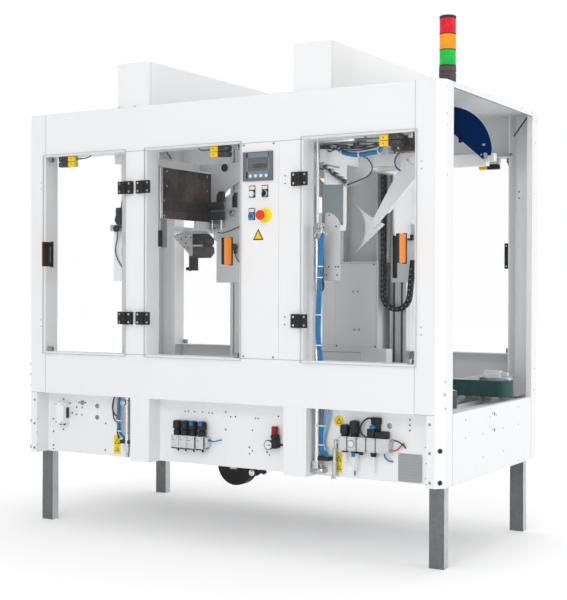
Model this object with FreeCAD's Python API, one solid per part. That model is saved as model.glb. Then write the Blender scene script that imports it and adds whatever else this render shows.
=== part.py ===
"""Enclosed carton sealer on four legs, in millimetres, +Z up.

Cartons travel along X, in at the left end and out at the right end. The origin is the floor
point under the middle of the machine, and the operator stands on the -Y side.
"""
import FreeCAD
import Part
import math
import os

V = FreeCAD.Vector

# Enclosure
length = 2060.0
depth = 1076.0
frame_top = 1850.0
apron_bottom = 318.0
bay_top = 592.0
window_bottom = 780.0
window_top = 1658.0
sheet = 3.0
fold_depth = 81.0

# Corner posts
post_flange = 115.0
post_foot_flange = 65.0
post_side = 97.0
post_lip = 24.0
post_chamfer = 31.0

# Posts and columns between the doors
mid_post_left = -462.0
mid_post_width = 118.0
control_left = 131.0
control_right = 430.0
control_panel_right = 317.0
rear_column_left = 60.0
column_lip = 24.0

# Legs
leg_width = 62.0
leg_depth = 40.0
leg_wall = 4.0
leg_inset = 26.0

# Roof, end rims and hoods
rim_height = 24.0
hood_width = 169.0
hood_height = 193.0
hood_setback = 20.0
left_head_x = -434.0
right_head_x = 458.0
guide_offset = 66.0

# Lower bays
bay_cover_spans = ((-430.0, -329.0), (342.0, 447.0))

# Doors
pane_gap = 5.0
pane_thick = 5.0
pane_lap = 10.0
hinge_leaf_width = 36.0
hinge_leaf_height = 55.0
hinge_leaf_thick = 7.0
hinge_knuckle = 14.0
hinge_lower = 937.0
hinge_upper = 1501.0
hinge_room = 1.0
hinge_pin_offset = 2.0
handle_width = 18.0
handle_length = 128.0
handle_reach = 52.0
handle_bar = 38.0
handle_foot = 18.0
handle_inset = 40.0
handle_level = 1214.0
backing_thick = 4.0
catch_size = 22.0
switch_inset = 110.0
switch_half = 48.0
switch_gap = 12.0
switch_depth = 30.0

# Operator panel
screen_left = 151.0
screen_width = 140.0
screen_bottom = 1502.0
screen_height = 118.0
screen_thick = 9.0
screen_margin = 18.0
screen_key_band = 44.0
screen_top_band = 14.0
screen_recess = 2.0
button_size = 30.0
button_round = 22.0
button_reach = 14.0
button_bezel = 4.0
button_legend = 18.0
button_places = ((187.0, 1446.0), (249.0, 1450.0), (186.0, 1362.0))
stop_x = 254.0
stop_z = 1361.0
stop_ring = 60.0
stop_plate = 4.0
stop_reach = 48.0
stop_collar = 15.0
stop_neck = 14.0
stop_head = 20.0
stop_crown = 12.0
stop_cone = 10.0

# Signal tower
tower_inset_x = 40.0
tower_inset_y = 130.0
tower_radius = 32.0
tower_base = 66.0
tower_lens = 60.0
tower_cap = 12.0
tower_joint = 3.0
tower_step = 1.0

# Conveyor
rail_height = 110.0
rail_flange = 40.0
rail_end_gap = 30.0
rail_drop = 4.0
roller_radius = 25.0
roller_pitch = 80.0
roller_drop = 4.0
roller_end_gap = 0.3
cross_bar = 40.0
cross_bar_inset = 100.0
centre_bar_x = -60.0

# Side belts
belt_room = 60.0
belt_unit_width = 90.0
belt_lift = 12.0
belt_height = 70.0
belt_thick = 5.0
belt_end_gap = 40.0
carrier_plate = 8.0
carrier_gap = 2.0
carrier_half = 40.0
carrier_inset = 170.0
housing_left = 38.0
housing_right = 399.0
housing_width = 60.0
housing_bottom_gap = 12.0
housing_height = 110.0
motor_plate_length = 100.0
motor_plate_inset = 45.0
connector_height = 22.0

# Guides, carriages and head beams
guide_width = 84.0
guide_depth = 40.0
guide_slot = 10.0
guide_slot_depth = 12.0
guide_slot_pitch = 40.0
slide_gap = 0.3
carriage_thick = 8.0
carriage_reach = 120.0
carriage_back = 31.0
carriage_corner = 60.0
carriage_bottom = 1098.0
carriage_top = 1370.0
beam_height = 49.0
beam_width = 44.0
gusset_thick = 8.0
gusset_bottom = 1300.0
gusset_toe = 46.0

# Left head
left_beam_offset = 166.0
left_beam_bottom = 1625.0
left_gusset_depth = 80.0
folding_offset = 79.0
folding_half = 200.0
folding_low = 1390.0
folding_split = 1470.0
folding_thick = 12.0
folding_step = 8.0
plate_thick = 8.0
side_plate_right = -215.0
side_plate_low = 1482.0
side_plate_nose = 44.0
side_plate_cut_top = 1600.0
side_plate_cut_dip = 48.0
side_plate_hole = 10.0
side_plate_hole_x = -440.0
side_plate_hole_z = 1653.0
fork_gap = 16.0
fork_top = 1640.0
fork_left = -500.0
fork_low = 1345.0
fork_rise = 80.0
fork_slot_width = 36.0
fork_slot_height = 80.0
fork_slot_x = -392.0
fork_slot_z = 1500.0
fork_flange = 60.0
bar_height = 20.0
bar_bottom = 1336.0
hanger_left = 75.0
hanger_right = 190.0
post_rod_radius = 9.0
end_strap = 10.0
end_strap_wide = 28.0
end_strap_bottom = 1253.0
press_roller_radius = 18.0
press_roller_drop = 49.0
press_drop = 112.0
press_width = 60.0
press_length = 73.0
press_chamfer = 22.0
press_barrel_radius = 21.0
press_barrel_length = 66.0

# Right head
right_beam_offset = 18.0
right_beam_bottom = 1583.0
right_gusset_depth = 180.0
long_beam_front_end = 800.0
long_beam_rear_end = 960.0
long_beam_y = 68.0
long_beam_width = 40.0
disc_radius = 147.0
disc_offset = -68.0
disc_z = 1650.0
disc_thick = 6.0
wing_y = 300.0
wing_left = 262.0
wing_low = 1478.0
wing_length = 146.0
wing_nose = 15.0
wing_root = 40.0
wing_sheet = 6.0
pivot_offset = 82.0
pivot_z = 1337.0
pivot_radius = 6.0
arm_length = 300.0
arm_angle = 53.6
arm_root = 92.0
arm_tip = 28.0
arm_sheet = 5.0
arm_gap = 21.0
arm_fold = 24.0
arm_boss = 16.0
paddle_left = 92.0
paddle_up = 87.0
paddle_down = 116.0
paddle_right = 45.0
paddle_hollow = 46.0
paddle_thick = 4.0
paddle_gap = 7.0
guard_offset = 324.0
guard_z = 1635.0
guard_radius = 205.0
guard_thick = 4.0
guard_chord_drop = 20.0
guard_chord_angle = 43.0
guard_bracket = 34.0

# Energy chain
chain_width = 25.0
chain_height = 22.0
chain_back_gap = 12.0
chain_left_offset = 136.0
chain_span = 157.0
chain_bottom = 961.0
chain_end = 1200.0
chain_lean = 15.0

# Lift cylinders and air tubes
lift_left_x = -482.0
lift_right_x = 469.0
lift_inset = 48.0
lift_radius = 11.0
lift_rod_radius = 6.0
lift_bottom = 380.0
lift_top = 1255.0
lift_head_height = 60.0
lift_head_width = 26.0
lift_clearance = 4.0
tube_radius = 3.0
tube_pitch = 7.0
tube_left_gap = 34.0
tube_right_gap = 7.0
manifold_bottom = 395.0
manifold_height = 30.0

# Lower taping unit
roll_x = -222.0
roll_z = 256.0
roll_radius = 95.0
roll_width = 50.0
roll_hub = 10.0
unit_left = 108.0
unit_right = 282.0
unit_gap = 5.0
unit_sheet = 10.0
unit_bottom = 380.0
unit_hanger = 18.0
unit_tie = 30.0
small_roll_radius = 22.0

# Boxes and air units in the lower bays
cabinet_right = 312.0
cabinet_depth = 168.0
cabinet_top = 1195.0
trough_sheet = 3.0
trough_gap = 8.0
junction_width = 46.0
junction_height = 95.0
junction_depth = 45.0
junction_inset = 80.0
junction_bottom = 452.0
block_depth = 40.0
valve_pitch = 42.0
valve_radius = 16.0
valve_cap = 12.0
valve_height = 60.0
valve_margin = 21.0
bank_left = -242.0
bank_bottom = 387.0
bank_height = 53.0
gauge_offset = 87.0
gauge_radius = 20.0
gauge_depth = 20.0
air_left = 118.0
air_length = 240.0
air_bottom = 430.0
air_block_height = 55.0
air_bowl_radius = 15.0
air_bowl_drop = 90.0


def box(x0, x1, y0, y1, z0, z1):
    return Part.makeBox(x1 - x0, y1 - y0, z1 - z0, V(x0, y0, z0))


def cylinder(radius, length_, start, axis):
    return Part.makeCylinder(radius, length_, V(*start), V(*axis))


def prism_z(points, z0, z1):
    """Upright prism over a plan outline."""
    wire = Part.makePolygon([V(x, y, z0) for x, y in points + points[:1]])
    return Part.Face(wire).extrude(V(0, 0, z1 - z0))


def prism_y(points, y0, y1):
    """Prism along Y over an outline in X and Z."""
    wire = Part.makePolygon([V(x, y0, z) for x, z in points + points[:1]])
    return Part.Face(wire).extrude(V(0, y1 - y0, 0))


def flip_x(shape):
    return shape.mirror(V(0, 0, 0), V(1, 0, 0))


def flip_y(shape):
    return shape.mirror(V(0, 0, 0), V(0, 1, 0))


def fuse(shapes):
    return shapes[0].multiFuse(shapes[1:]).removeSplitter()


def group(shapes):
    """Like pieces that share a node without touching."""
    return Part.makeCompound(shapes)


def save(name, shape):
    shape.exportStep("parts/" + name + ".step")


half_length = length / 2
half_depth = depth / 2
front = -half_depth
fold_back = front + fold_depth
bay_back = fold_back - sheet
seam_x = half_length - post_flange
foot_x = half_length - post_foot_flange
lip_y = half_depth - post_side
mid_post_right = mid_post_left + mid_post_width


def channel(x0, x1, z0, z1, upright):
    """Folded front sheet with two returns, along Z when upright, else along X."""
    skin = box(x0, x1, front, front + sheet, z0, z1)
    if upright:
        first = box(x0, x0 + sheet, front, fold_back, z0, z1)
        second = box(x1 - sheet, x1, front, fold_back, z0, z1)
    else:
        first = box(x0, x1, front, fold_back, z0, z0 + sheet)
        second = box(x0, x1, front, fold_back, z1 - sheet, z1)
    return fuse([skin, first, second])


def post_section(edge_x, z0, z1):
    """Front right corner: web at edge_x, front flange, chamfer, side flange and lip."""
    inner = sheet * math.tan(math.radians(22.5))
    corner_x = half_length - post_chamfer
    corner_y = front + post_chamfer
    outline = [
        (edge_x, -lip_y - post_side + fold_depth),
        (edge_x, front),
        (corner_x, front),
        (half_length, corner_y),
        (half_length, -lip_y),
        (half_length - post_lip, -lip_y),
        (half_length - post_lip, -lip_y - sheet),
        (half_length - sheet, -lip_y - sheet),
        (half_length - sheet, corner_y + inner),
        (corner_x - inner, front + sheet),
        (edge_x + sheet, front + sheet),
        (edge_x + sheet, fold_back),
    ]
    return prism_z(outline, z0, z1)


def corner_post():
    """Front right corner post with a narrower front flange beside the lower bay."""
    upper = post_section(seam_x, bay_top, frame_top)
    lower = post_section(foot_x, apron_bottom, bay_top)
    ceiling = box(seam_x, foot_x + sheet, front, fold_back, bay_top, bay_top + sheet)
    cap_outline = [
        (seam_x, fold_back),
        (seam_x, front),
        (half_length - post_chamfer, front),
        (half_length, front + post_chamfer),
        (half_length, -lip_y),
        (seam_x, -lip_y),
    ]
    cap = prism_z(cap_outline, frame_top - sheet, frame_top)
    return fuse([upper, lower, ceiling, cap])


def leg():
    """Front right leg, a rectangular tube behind the bay panel."""
    x1 = half_length - leg_inset
    x0 = x1 - leg_width
    y1 = fold_back + leg_depth
    tube = box(x0, x1, fold_back, y1, 0, bay_top - sheet)
    bore = box(x0 + leg_wall, x1 - leg_wall, fold_back + leg_wall, y1 - leg_wall,
               leg_wall, bay_top)
    return tube.cut(bore)


def bay_panel(covers):
    """Recessed back sheet of the lower bays with its welded box covers."""
    pieces = [box(-foot_x, foot_x, bay_back, fold_back, apron_bottom, bay_top)]
    for x0, x1 in covers:
        shell = box(x0, x1, front, bay_back, apron_bottom, bay_top)
        hollow = box(x0 + sheet, x1 - sheet, front + sheet, bay_back,
                     apron_bottom + sheet, bay_top - sheet)
        pieces.append(shell.cut(hollow))
    return fuse(pieces)


def end_apron():
    """Right end sheet under the outfeed, its top edge folded inwards."""
    face = box(half_length - sheet, half_length, -lip_y, lip_y, apron_bottom, bay_top)
    fold = box(half_length - rail_end_gap + sheet, half_length, -lip_y, lip_y,
               bay_top - sheet, bay_top)
    return fuse([face, fold])


def control_column():
    """Closed control column with the joint line beside the removable panel."""
    body = channel(control_left, control_right, window_bottom, window_top, True)
    back = box(control_left, control_right, fold_back - sheet, fold_back, window_bottom,
               window_top)
    body = fuse([body, back])
    joint = box(control_panel_right, control_panel_right + sheet / 2, front,
                front + sheet / 2, window_bottom, window_top)
    return body.cut(joint)


def rear_column():
    """Channel column of the rear side, open towards the inside."""
    body = channel(rear_column_left, control_right, window_bottom, window_top, True)
    lips = [
        box(rear_column_left, rear_column_left + column_lip, fold_back - sheet, fold_back,
            window_bottom, window_top),
        box(control_right - column_lip, control_right, fold_back - sheet, fold_back,
            window_bottom, window_top),
    ]
    return flip_y(fuse([body] + lips))


def roof():
    """Roof sheet between the top beams, with a down-turned rim at each end."""
    middle = box(-seam_x, seam_x, fold_back, -fold_back, frame_top - sheet, frame_top)
    full = box(-half_length, half_length, -lip_y, lip_y, frame_top - sheet, frame_top)
    rims = []
    for x0 in (-half_length, half_length - sheet):
        rims.append(box(x0, x0 + sheet, -lip_y, lip_y, frame_top - rim_height, frame_top))
    return fuse([middle, full] + rims)


def hood(centre_x):
    """Sheet hood over the raised head, open where it stands on the roof."""
    half = hood_width / 2
    y = half_depth - hood_setback
    top = frame_top + hood_height
    outer = box(centre_x - half, centre_x + half, -y, y, frame_top, top)
    inner = box(centre_x - half + sheet, centre_x + half - sheet, -y + sheet, y - sheet,
                frame_top, top - sheet)
    return outer.cut(inner)


# Door places: opening edges, side of the hinge (-1 left, 1 right)
front_doors = {
    "front_left": (-seam_x, mid_post_left, 1),
    "front_middle": (mid_post_right, control_left, -1),
    "front_right": (control_right, seam_x, -1),
}
rear_doors = {
    "rear_left": (-seam_x, mid_post_left, 1),
    "rear_middle": (mid_post_right, rear_column_left, -1),
    "rear_right": (control_right, seam_x, -1),
}
pane_back = front - pane_gap
pane_front = pane_back - pane_thick
pin_y = pane_front - hinge_knuckle / 2


def pin_x(door):
    """The hinge pin stands over the post's front, outside the opening."""
    x0, x1, side = door
    edge = x1 if side > 0 else x0
    return edge + side * pane_lap


def pane(door):
    x0, x1, side = door
    pin = pin_x(door)
    hinge_edge = pin - side * hinge_pin_offset
    free_edge = x0 - pane_lap if side > 0 else x1 + pane_lap
    return box(min(hinge_edge, free_edge), max(hinge_edge, free_edge), pane_front, pane_back,
               window_bottom - pane_lap, window_top + pane_lap)


def span(start, direction, size):
    """Ordered pair of X values from start over size in the given direction."""
    end = start + direction * size
    return min(start, end), max(start, end)


def door_leaf(door, level):
    """Hinge leaf on the pane with the middle knuckle."""
    side = door[2]
    pin = pin_x(door)
    knuckle = hinge_leaf_height / 3
    x0, x1 = span(pin - side * hinge_pin_offset, -side, hinge_leaf_width)
    low = level - hinge_leaf_height / 2
    high = level + hinge_leaf_height / 2
    plate = box(x0, x1, pane_front - hinge_leaf_thick, pane_front, low, high)
    bridge_x0, bridge_x1 = span(pin, -side, hinge_knuckle)
    room = box(*span(pin, -side, hinge_knuckle / 2 + hinge_room), pane_front - hinge_knuckle,
               pane_front, low, high)
    bridge = box(bridge_x0, bridge_x1, pin_y, pane_front, level - knuckle / 2,
                 level + knuckle / 2)
    barrel = cylinder(hinge_knuckle / 2, knuckle, (pin, pin_y, level - knuckle / 2), (0, 0, 1))
    return fuse([plate.cut(room), bridge, barrel])


def post_leaf(door, level):
    """Thicker leaf on the post with the two outer knuckles and a running gap."""
    side = door[2]
    pin = pin_x(door)
    knuckle = hinge_leaf_height / 3
    x0, x1 = span(pin + side * hinge_pin_offset, side, hinge_leaf_width)
    low = level - hinge_leaf_height / 2
    high = level + hinge_leaf_height / 2
    plate = box(x0, x1, pane_front - hinge_leaf_thick, front, low, high)
    gap = slide_gap
    room = box(*span(pin, side, hinge_knuckle / 2 + hinge_room), pane_front - hinge_knuckle,
               front, level - knuckle / 2 - gap, level + knuckle / 2 + gap)
    parts = [plate.cut(room)]
    for z0, z1 in ((low, level - knuckle / 2 - gap), (level + knuckle / 2 + gap, high)):
        parts.append(box(*span(pin, side, hinge_knuckle), pin_y, pane_front, z0, z1))
        parts.append(cylinder(hinge_knuckle / 2, z1 - z0, (pin, pin_y, z0), (0, 0, 1)))
    return fuse(parts)


def handle(door):
    """Bridge handle near the free edge, with its backing plate behind the pane."""
    x0, x1, side = door
    centre = x0 + handle_inset if side > 0 else x1 - handle_inset
    low = handle_level - handle_length / 2
    high = handle_level + handle_length / 2
    hx0 = centre - handle_width / 2
    hx1 = centre + handle_width / 2
    outer = pane_front - handle_reach
    body = box(hx0, hx1, outer, pane_front, low, high)
    grip = box(hx0, hx1, outer + handle_bar, pane_front, low + handle_foot, high - handle_foot)
    backing = box(hx0, hx1, pane_back, pane_back + backing_thick, low, high)
    return [body.cut(grip), backing]


def door_hardware(door):
    leaves = [door_leaf(door, level) for level in (hinge_lower, hinge_upper)]
    return group(handle(door) + leaves)


def door_catches(doors):
    """Catch blocks on the beams' inner edges beside each free edge."""
    parts = []
    for x0, x1, side in doors:
        x = x0 + catch_size if side > 0 else x1 - catch_size
        for z0 in (window_bottom, window_top - catch_size):
            parts.append(box(x - catch_size / 2, x + catch_size / 2, front + sheet,
                             front + sheet + catch_size, z0, z0 + catch_size))
    return parts


def door_switch(door):
    """Two-part safety switch under the top beam, beside the free edge."""
    x0, x1, side = door
    middle = x0 + switch_inset if side > 0 else x1 - switch_inset
    return box(middle - switch_half, middle + switch_half, front + switch_gap,
               front + switch_gap + switch_depth, window_top - switch_half, window_top)


def operator_screen():
    """Bezel with the display's recess above the row of keys."""
    right = screen_left + screen_width
    top = screen_bottom + screen_height
    face = front - screen_thick
    frame = box(screen_left, right, face, front, screen_bottom, top)
    recess = box(screen_left + screen_margin, right - screen_margin, face,
                 face + screen_recess, screen_bottom + screen_key_band, top - screen_top_band)
    return frame.cut(recess)


def push_button(x, z):
    """Legend plate, square bezel and round cap."""
    half = button_size / 2
    bezel = box(x - half, x + half, front - button_bezel, front, z - half, z + half)
    legend = box(x - half, x + half, front - button_bezel / 2, front, z + half,
                 z + half + button_legend)
    cap = cylinder(button_round / 2, button_reach, (x, front, z), (0, -1, 0))
    return fuse([bezel, legend, cap])


def emergency_stop():
    """Yellow ring plate, collar and mushroom head."""
    tip = front - stop_reach
    ring = cylinder(stop_ring / 2, stop_plate, (stop_x, front, stop_z), (0, -1, 0))
    collar = cylinder(stop_collar, stop_reach - stop_crown, (stop_x, front, stop_z), (0, -1, 0))
    cone = Part.makeCone(stop_neck, stop_head, stop_cone,
                         V(stop_x, tip + stop_crown + stop_cone, stop_z), V(0, -1, 0))
    crown = cylinder(stop_head, stop_crown, (stop_x, tip + stop_crown, stop_z), (0, -1, 0))
    return fuse([ring, collar, cone, crown])


def signal_tower():
    """Base, three lens rings with joints, and a cap."""
    x = half_length - tower_inset_x
    y = -half_depth + tower_inset_y
    z = frame_top
    parts = [cylinder(tower_radius + tower_step, tower_base, (x, y, z), (0, 0, 1))]
    z += tower_base
    for _ in range(3):
        parts.append(cylinder(tower_radius - tower_step, tower_joint, (x, y, z), (0, 0, 1)))
        parts.append(cylinder(tower_radius, tower_lens - tower_joint, (x, y, z + tower_joint),
                              (0, 0, 1)))
        z += tower_lens
    parts.append(cylinder(tower_radius, tower_cap, (x, y, z), (0, 0, 1)))
    return fuse(parts)


rail_outer = -(fold_back + leg_depth)
rail_top = bay_top - rail_drop
rail_bottom = rail_top - rail_height
rail_half = half_length - rail_end_gap
roller_top = bay_top - roller_drop


def conveyor_frame():
    """Two channel rails joined by cross bars below the rollers."""
    parts = []
    for sign in (-1, 1):
        y0, y1 = sorted((sign * rail_outer, sign * (rail_outer - rail_flange)))
        w0, w1 = sorted((sign * rail_outer, sign * (rail_outer - sheet)))
        parts.append(box(-rail_half, rail_half, w0, w1, rail_bottom, rail_top))
        parts.append(box(-rail_half, rail_half, y0, y1, rail_bottom, rail_bottom + sheet))
    bars = [centre_bar_x]
    for i in (-2, -1, 1, 2):
        bars.append(i * (rail_half - cross_bar_inset) / 2)
    for x in bars:
        parts.append(box(x - cross_bar / 2, x + cross_bar / 2, -rail_outer, rail_outer,
                         rail_bottom, rail_bottom + cross_bar))
    return fuse(parts)


belt_half_length = half_length - belt_end_gap
belt_outer_y = rail_outer - belt_room
belt_inner_y = belt_outer_y - belt_unit_width
belt_bottom = roller_top + belt_lift
belt_top = belt_bottom + belt_height


def rollers():
    half = rail_outer - sheet - roller_end_gap
    z = roller_top - roller_radius
    each_side = int((belt_half_length - roller_radius) / roller_pitch)
    return group([
        cylinder(roller_radius, 2 * half, (i * roller_pitch, -half, z), (0, 1, 0))
        for i in range(-each_side, each_side + 1)
    ])


def stadium(half, radius, z0, z1):
    """Upright solid with round ends, centred on the X axis."""
    run = half - radius
    edges = [
        Part.LineSegment(V(-run, -radius, z0), V(run, -radius, z0)),
        Part.Arc(V(run, -radius, z0), V(half, 0, z0), V(run, radius, z0)),
        Part.LineSegment(V(run, radius, z0), V(-run, radius, z0)),
        Part.Arc(V(-run, radius, z0), V(-half, 0, z0), V(-run, -radius, z0)),
    ]
    wire = Part.Wire([edge.toShape() for edge in edges])
    return Part.Face(wire).extrude(V(0, 0, z1 - z0))


def side_belt():
    """Front belt loop standing on edge round its two pulleys."""
    radius = belt_unit_width / 2
    loop = stadium(belt_half_length, radius, belt_bottom, belt_top)
    inner = stadium(belt_half_length - belt_thick, radius - belt_thick, belt_bottom, belt_top)
    belt = loop.cut(inner)
    belt.translate(V(0, -belt_inner_y - radius, 0))
    return belt


def side_drive():
    """Front belt carrier: core inside the loop and its feet to the rail."""
    radius = belt_unit_width / 2
    middle = -belt_inner_y - radius
    inset = belt_thick + slide_gap
    core = stadium(belt_half_length - inset, radius - inset, belt_bottom, belt_top)
    core.translate(V(0, middle, 0))
    parts = [core]
    plate_z = belt_top + carrier_gap
    last = belt_half_length - carrier_inset
    for x in (-last, 0, last):
        x0 = x - carrier_half
        x1 = x + carrier_half
        parts.append(box(x0, x1, -rail_outer, middle + carrier_half / 2, plate_z,
                         plate_z + carrier_plate))
        parts.append(box(x0, x1, middle - carrier_half / 2, middle + carrier_half / 2,
                         belt_top, plate_z))
        parts.append(box(x0, x1, -rail_outer, -rail_outer + carrier_plate, rail_top,
                         plate_z + carrier_plate))
    return fuse(parts)


def drive_housing():
    """Box over the rear belt's drive, and the motor plate at the outfeed end."""
    middle = belt_inner_y + belt_unit_width / 2
    y0 = middle - housing_width / 2
    y1 = middle + housing_width / 2
    low = belt_top + housing_bottom_gap
    parts = [box(housing_left, housing_right, y0, y1, low, low + housing_height)]
    for x in (housing_left, housing_right - carrier_half):
        parts.append(box(x, x + carrier_half, middle - carrier_half / 2,
                         middle + carrier_half / 2, belt_top, low))
    end = belt_half_length - motor_plate_inset
    start = end - motor_plate_length
    parts.append(box(start, end, y0, y1, low, low + carrier_plate))
    for x in (start, end - carrier_plate):
        parts.append(box(x, x + carrier_plate, middle - carrier_half / 2,
                         middle + carrier_half / 2, belt_top, low))
    parts.append(box(start + carrier_half / 2, end - carrier_plate, middle - carrier_half / 2,
                     middle + carrier_half / 2, low + carrier_plate,
                     low + carrier_plate + connector_height))
    return parts


def tape_roll():
    """Roll of the lower taping unit, its side towards the operator."""
    half = roll_width / 2
    return cylinder(roll_radius, roll_width, (roll_x, -half, roll_z), (0, 1, 0))


def bottom_tape_unit():
    """Side plates under the rollers that hold the roll's hub and the guide roller."""
    parts = []
    inner = roll_width / 2 + unit_gap
    x0 = roll_x - unit_left
    x1 = roll_x + unit_right
    for y0 in (-inner - unit_sheet, inner):
        parts.append(box(x0, x1, y0, y0 + unit_sheet, unit_bottom, rail_bottom))
        parts.append(box(roll_x - unit_hanger, roll_x + unit_hanger, y0, y0 + unit_sheet,
                         roll_z - unit_hanger, unit_bottom))
    parts.append(cylinder(roll_hub, 2 * inner, (roll_x, -inner, roll_z), (0, 1, 0)))
    for x in (x0, x1 - unit_tie):
        parts.append(box(x, x + unit_tie, -inner, inner, rail_bottom - 2 * unit_tie,
                         rail_bottom - unit_tie))
    parts.append(cylinder(small_roll_radius, 2 * inner,
                          (x0 + unit_tie, -inner, unit_bottom + small_roll_radius), (0, 1, 0)))
    return fuse(parts).cut(tape_roll())


def guide_x(head_x):
    return head_x - guide_offset


def guide_column(head_x):
    """Front slotted profile of a head, from the conveyor's rail to the roof."""
    middle = guide_x(head_x)
    x0 = middle - guide_width / 2
    low = rail_bottom
    high = frame_top - sheet
    profile = box(x0, x0 + guide_width, fold_back, fold_back + guide_depth, low, high)
    slots = []
    for x in (middle - guide_slot_pitch / 2, middle + guide_slot_pitch / 2):
        for y in (fold_back, fold_back + guide_depth - guide_slot_depth):
            slots.append(box(x - guide_slot / 2, x + guide_slot / 2, y, y + guide_slot_depth,
                             rail_top, high))
    return profile.cut(Part.makeCompound(slots))


carriage_y = -(fold_back + guide_depth + slide_gap)
beam_half = carriage_y - carriage_thick


def at_corner(edge, x, z):
    """True for the edge along Y at the given corner."""
    ends = [vertex.Point for vertex in edge.Vertexes]
    return all(abs(p.x - x) < 0.01 and abs(p.z - z) < 0.01 for p in ends)


def carriage(head_x, side, y0):
    """Plate on a guide, with its outer upper corner rounded."""
    middle = guide_x(head_x)
    x0, x1 = span(middle - side * carriage_back, side, carriage_back + carriage_reach)
    plate = box(x0, x1, y0, y0 + carriage_thick, carriage_bottom, carriage_top)
    corner = x1 if side > 0 else x0
    edges = [e for e in plate.Edges if at_corner(e, corner, carriage_top)]
    return plate.makeFillet(carriage_corner, edges)


def gusset(x, low, depth_):
    """Upright plate from the front carriage to the beam, its toe cut off."""
    outline = [
        (-beam_half, gusset_bottom),
        (-beam_half + depth_ - carriage_thick, gusset_bottom + carriage_thick),
        (-beam_half + depth_, gusset_bottom + gusset_toe),
        (-beam_half + depth_, low),
        (-beam_half, low),
    ]
    wire = Part.makePolygon([V(x, y, z) for y, z in outline + outline[:1]])
    return Part.Face(wire).extrude(V(gusset_thick, 0, 0))


def head_frame(head_x, side, beam_x, beam_z, depth_):
    """Beam across the machine between two carriages that run on the guide columns."""
    beam = box(beam_x, beam_x + beam_width, -beam_half, beam_half, beam_z,
               beam_z + beam_height)
    plate = gusset(beam_x + beam_width - gusset_thick, beam_z, depth_)
    parts = [beam, plate, flip_y(plate)]
    for y0 in (-carriage_y, carriage_y - carriage_thick):
        parts.append(carriage(head_x, side, y0))
    return parts


def left_head_frame():
    return fuse(head_frame(left_head_x, -1, left_head_x - left_beam_offset - beam_width / 2,
                           left_beam_bottom, left_gusset_depth))


def right_head_frame():
    """Cross beam with the two long beams that carry the taping arms."""
    x0 = right_head_x - right_beam_offset - beam_width / 2
    parts = head_frame(right_head_x, 1, x0, right_beam_bottom, right_gusset_depth)
    top = right_beam_bottom + beam_height
    y1 = long_beam_y + long_beam_width
    parts.append(box(x0, long_beam_front_end, -y1, -long_beam_y, right_beam_bottom, top))
    parts.append(box(x0, long_beam_rear_end, long_beam_y, y1, right_beam_bottom, top))
    parts.append(box(long_beam_front_end - beam_width, long_beam_front_end, -long_beam_y,
                     long_beam_y, right_beam_bottom, top))
    return fuse(parts)


folding_x = left_head_x - folding_offset


def folding_plate():
    """Brown laminate plate across the carton's path, in two stacked boards."""
    back = folding_x - folding_thick
    lower = box(back, folding_x, -folding_half, folding_half, folding_low, folding_split)
    upper = box(back - folding_step, folding_x, -folding_half, folding_half, folding_split,
                left_beam_bottom)
    return fuse([lower, upper])


def side_plate():
    """Plate behind the brown boards, its lower right side cut away in an arc."""
    y = folding_half
    left = left_head_x - left_beam_offset + beam_width / 2
    top = left_beam_bottom + beam_height
    nose_x = folding_x + side_plate_nose
    middle_x = (nose_x + side_plate_right) / 2
    middle_z = (side_plate_low + side_plate_cut_top) / 2 + side_plate_cut_dip
    start = V(nose_x, y, side_plate_low)
    end = V(side_plate_right, y, side_plate_cut_top)
    edges = [
        Part.LineSegment(V(left, y, side_plate_low), start),
        Part.Arc(start, V(middle_x, y, middle_z), end),
        Part.LineSegment(end, V(side_plate_right, y, top)),
        Part.LineSegment(V(side_plate_right, y, top), V(left, y, top)),
        Part.LineSegment(V(left, y, top), V(left, y, side_plate_low)),
    ]
    wire = Part.Wire([edge.toShape() for edge in edges])
    plate = Part.Face(wire).extrude(V(0, plate_thick, 0))
    hole = cylinder(side_plate_hole, plate_thick, (side_plate_hole_x, y, side_plate_hole_z),
                    (0, 1, 0))
    return plate.cut(hole)


def fork_plate():
    """Slotted plate behind the side plate, its lower edge rising and folded inwards."""
    y = folding_half + plate_thick + fork_gap
    low = fork_low
    knee = folding_x + side_plate_nose / 2
    outline = [
        (fork_left - carriage_back, low), (knee, low), (side_plate_right, low + fork_rise),
        (side_plate_right, fork_top), (fork_left, side_plate_low),
        (fork_left - carriage_back, side_plate_low),
    ]
    plate = prism_y(outline, y, y + plate_thick)
    slot = box(fork_slot_x - fork_slot_width / 2, fork_slot_x + fork_slot_width / 2, y,
               y + plate_thick, fork_slot_z - fork_slot_height / 2,
               fork_slot_z + fork_slot_height / 2)
    plate = plate.cut(slot)
    fold = prism_y([(knee, low), (side_plate_right, low + fork_rise),
                    (side_plate_right, low + fork_rise + sheet), (knee, low + sheet)],
                   y + plate_thick, y + plate_thick + fork_flange)
    spacers = []
    for x, z in ((fork_left, side_plate_low + side_plate_nose),
                 (side_plate_right - fork_flange, side_plate_cut_top)):
        spacers.append(cylinder(plate_thick, fork_gap, (x, y - fork_gap, z + plate_thick),
                                (0, 1, 0)))
    return fuse([plate, fold] + spacers)


def left_head_plates():
    """Top board, side plate, fork plate, hanger and cross bar of the left head."""
    beam_face = left_head_x - left_beam_offset + beam_width / 2
    back = folding_x - folding_thick - folding_step
    rod_y = folding_half + post_rod_radius
    top_board = box(beam_face, folding_x, -rod_y - post_rod_radius, folding_half,
                    left_beam_bottom, left_beam_bottom + plate_thick)
    bar_top = bar_bottom + bar_height
    bar = box(back, folding_x, -folding_half, folding_half + plate_thick + fork_gap,
              bar_bottom, bar_top)
    hanger = box(folding_x - folding_thick, folding_x, hanger_left, hanger_right, bar_top,
                 folding_low)
    return fuse([top_board, side_plate(), fork_plate(), bar, hanger])


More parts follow.
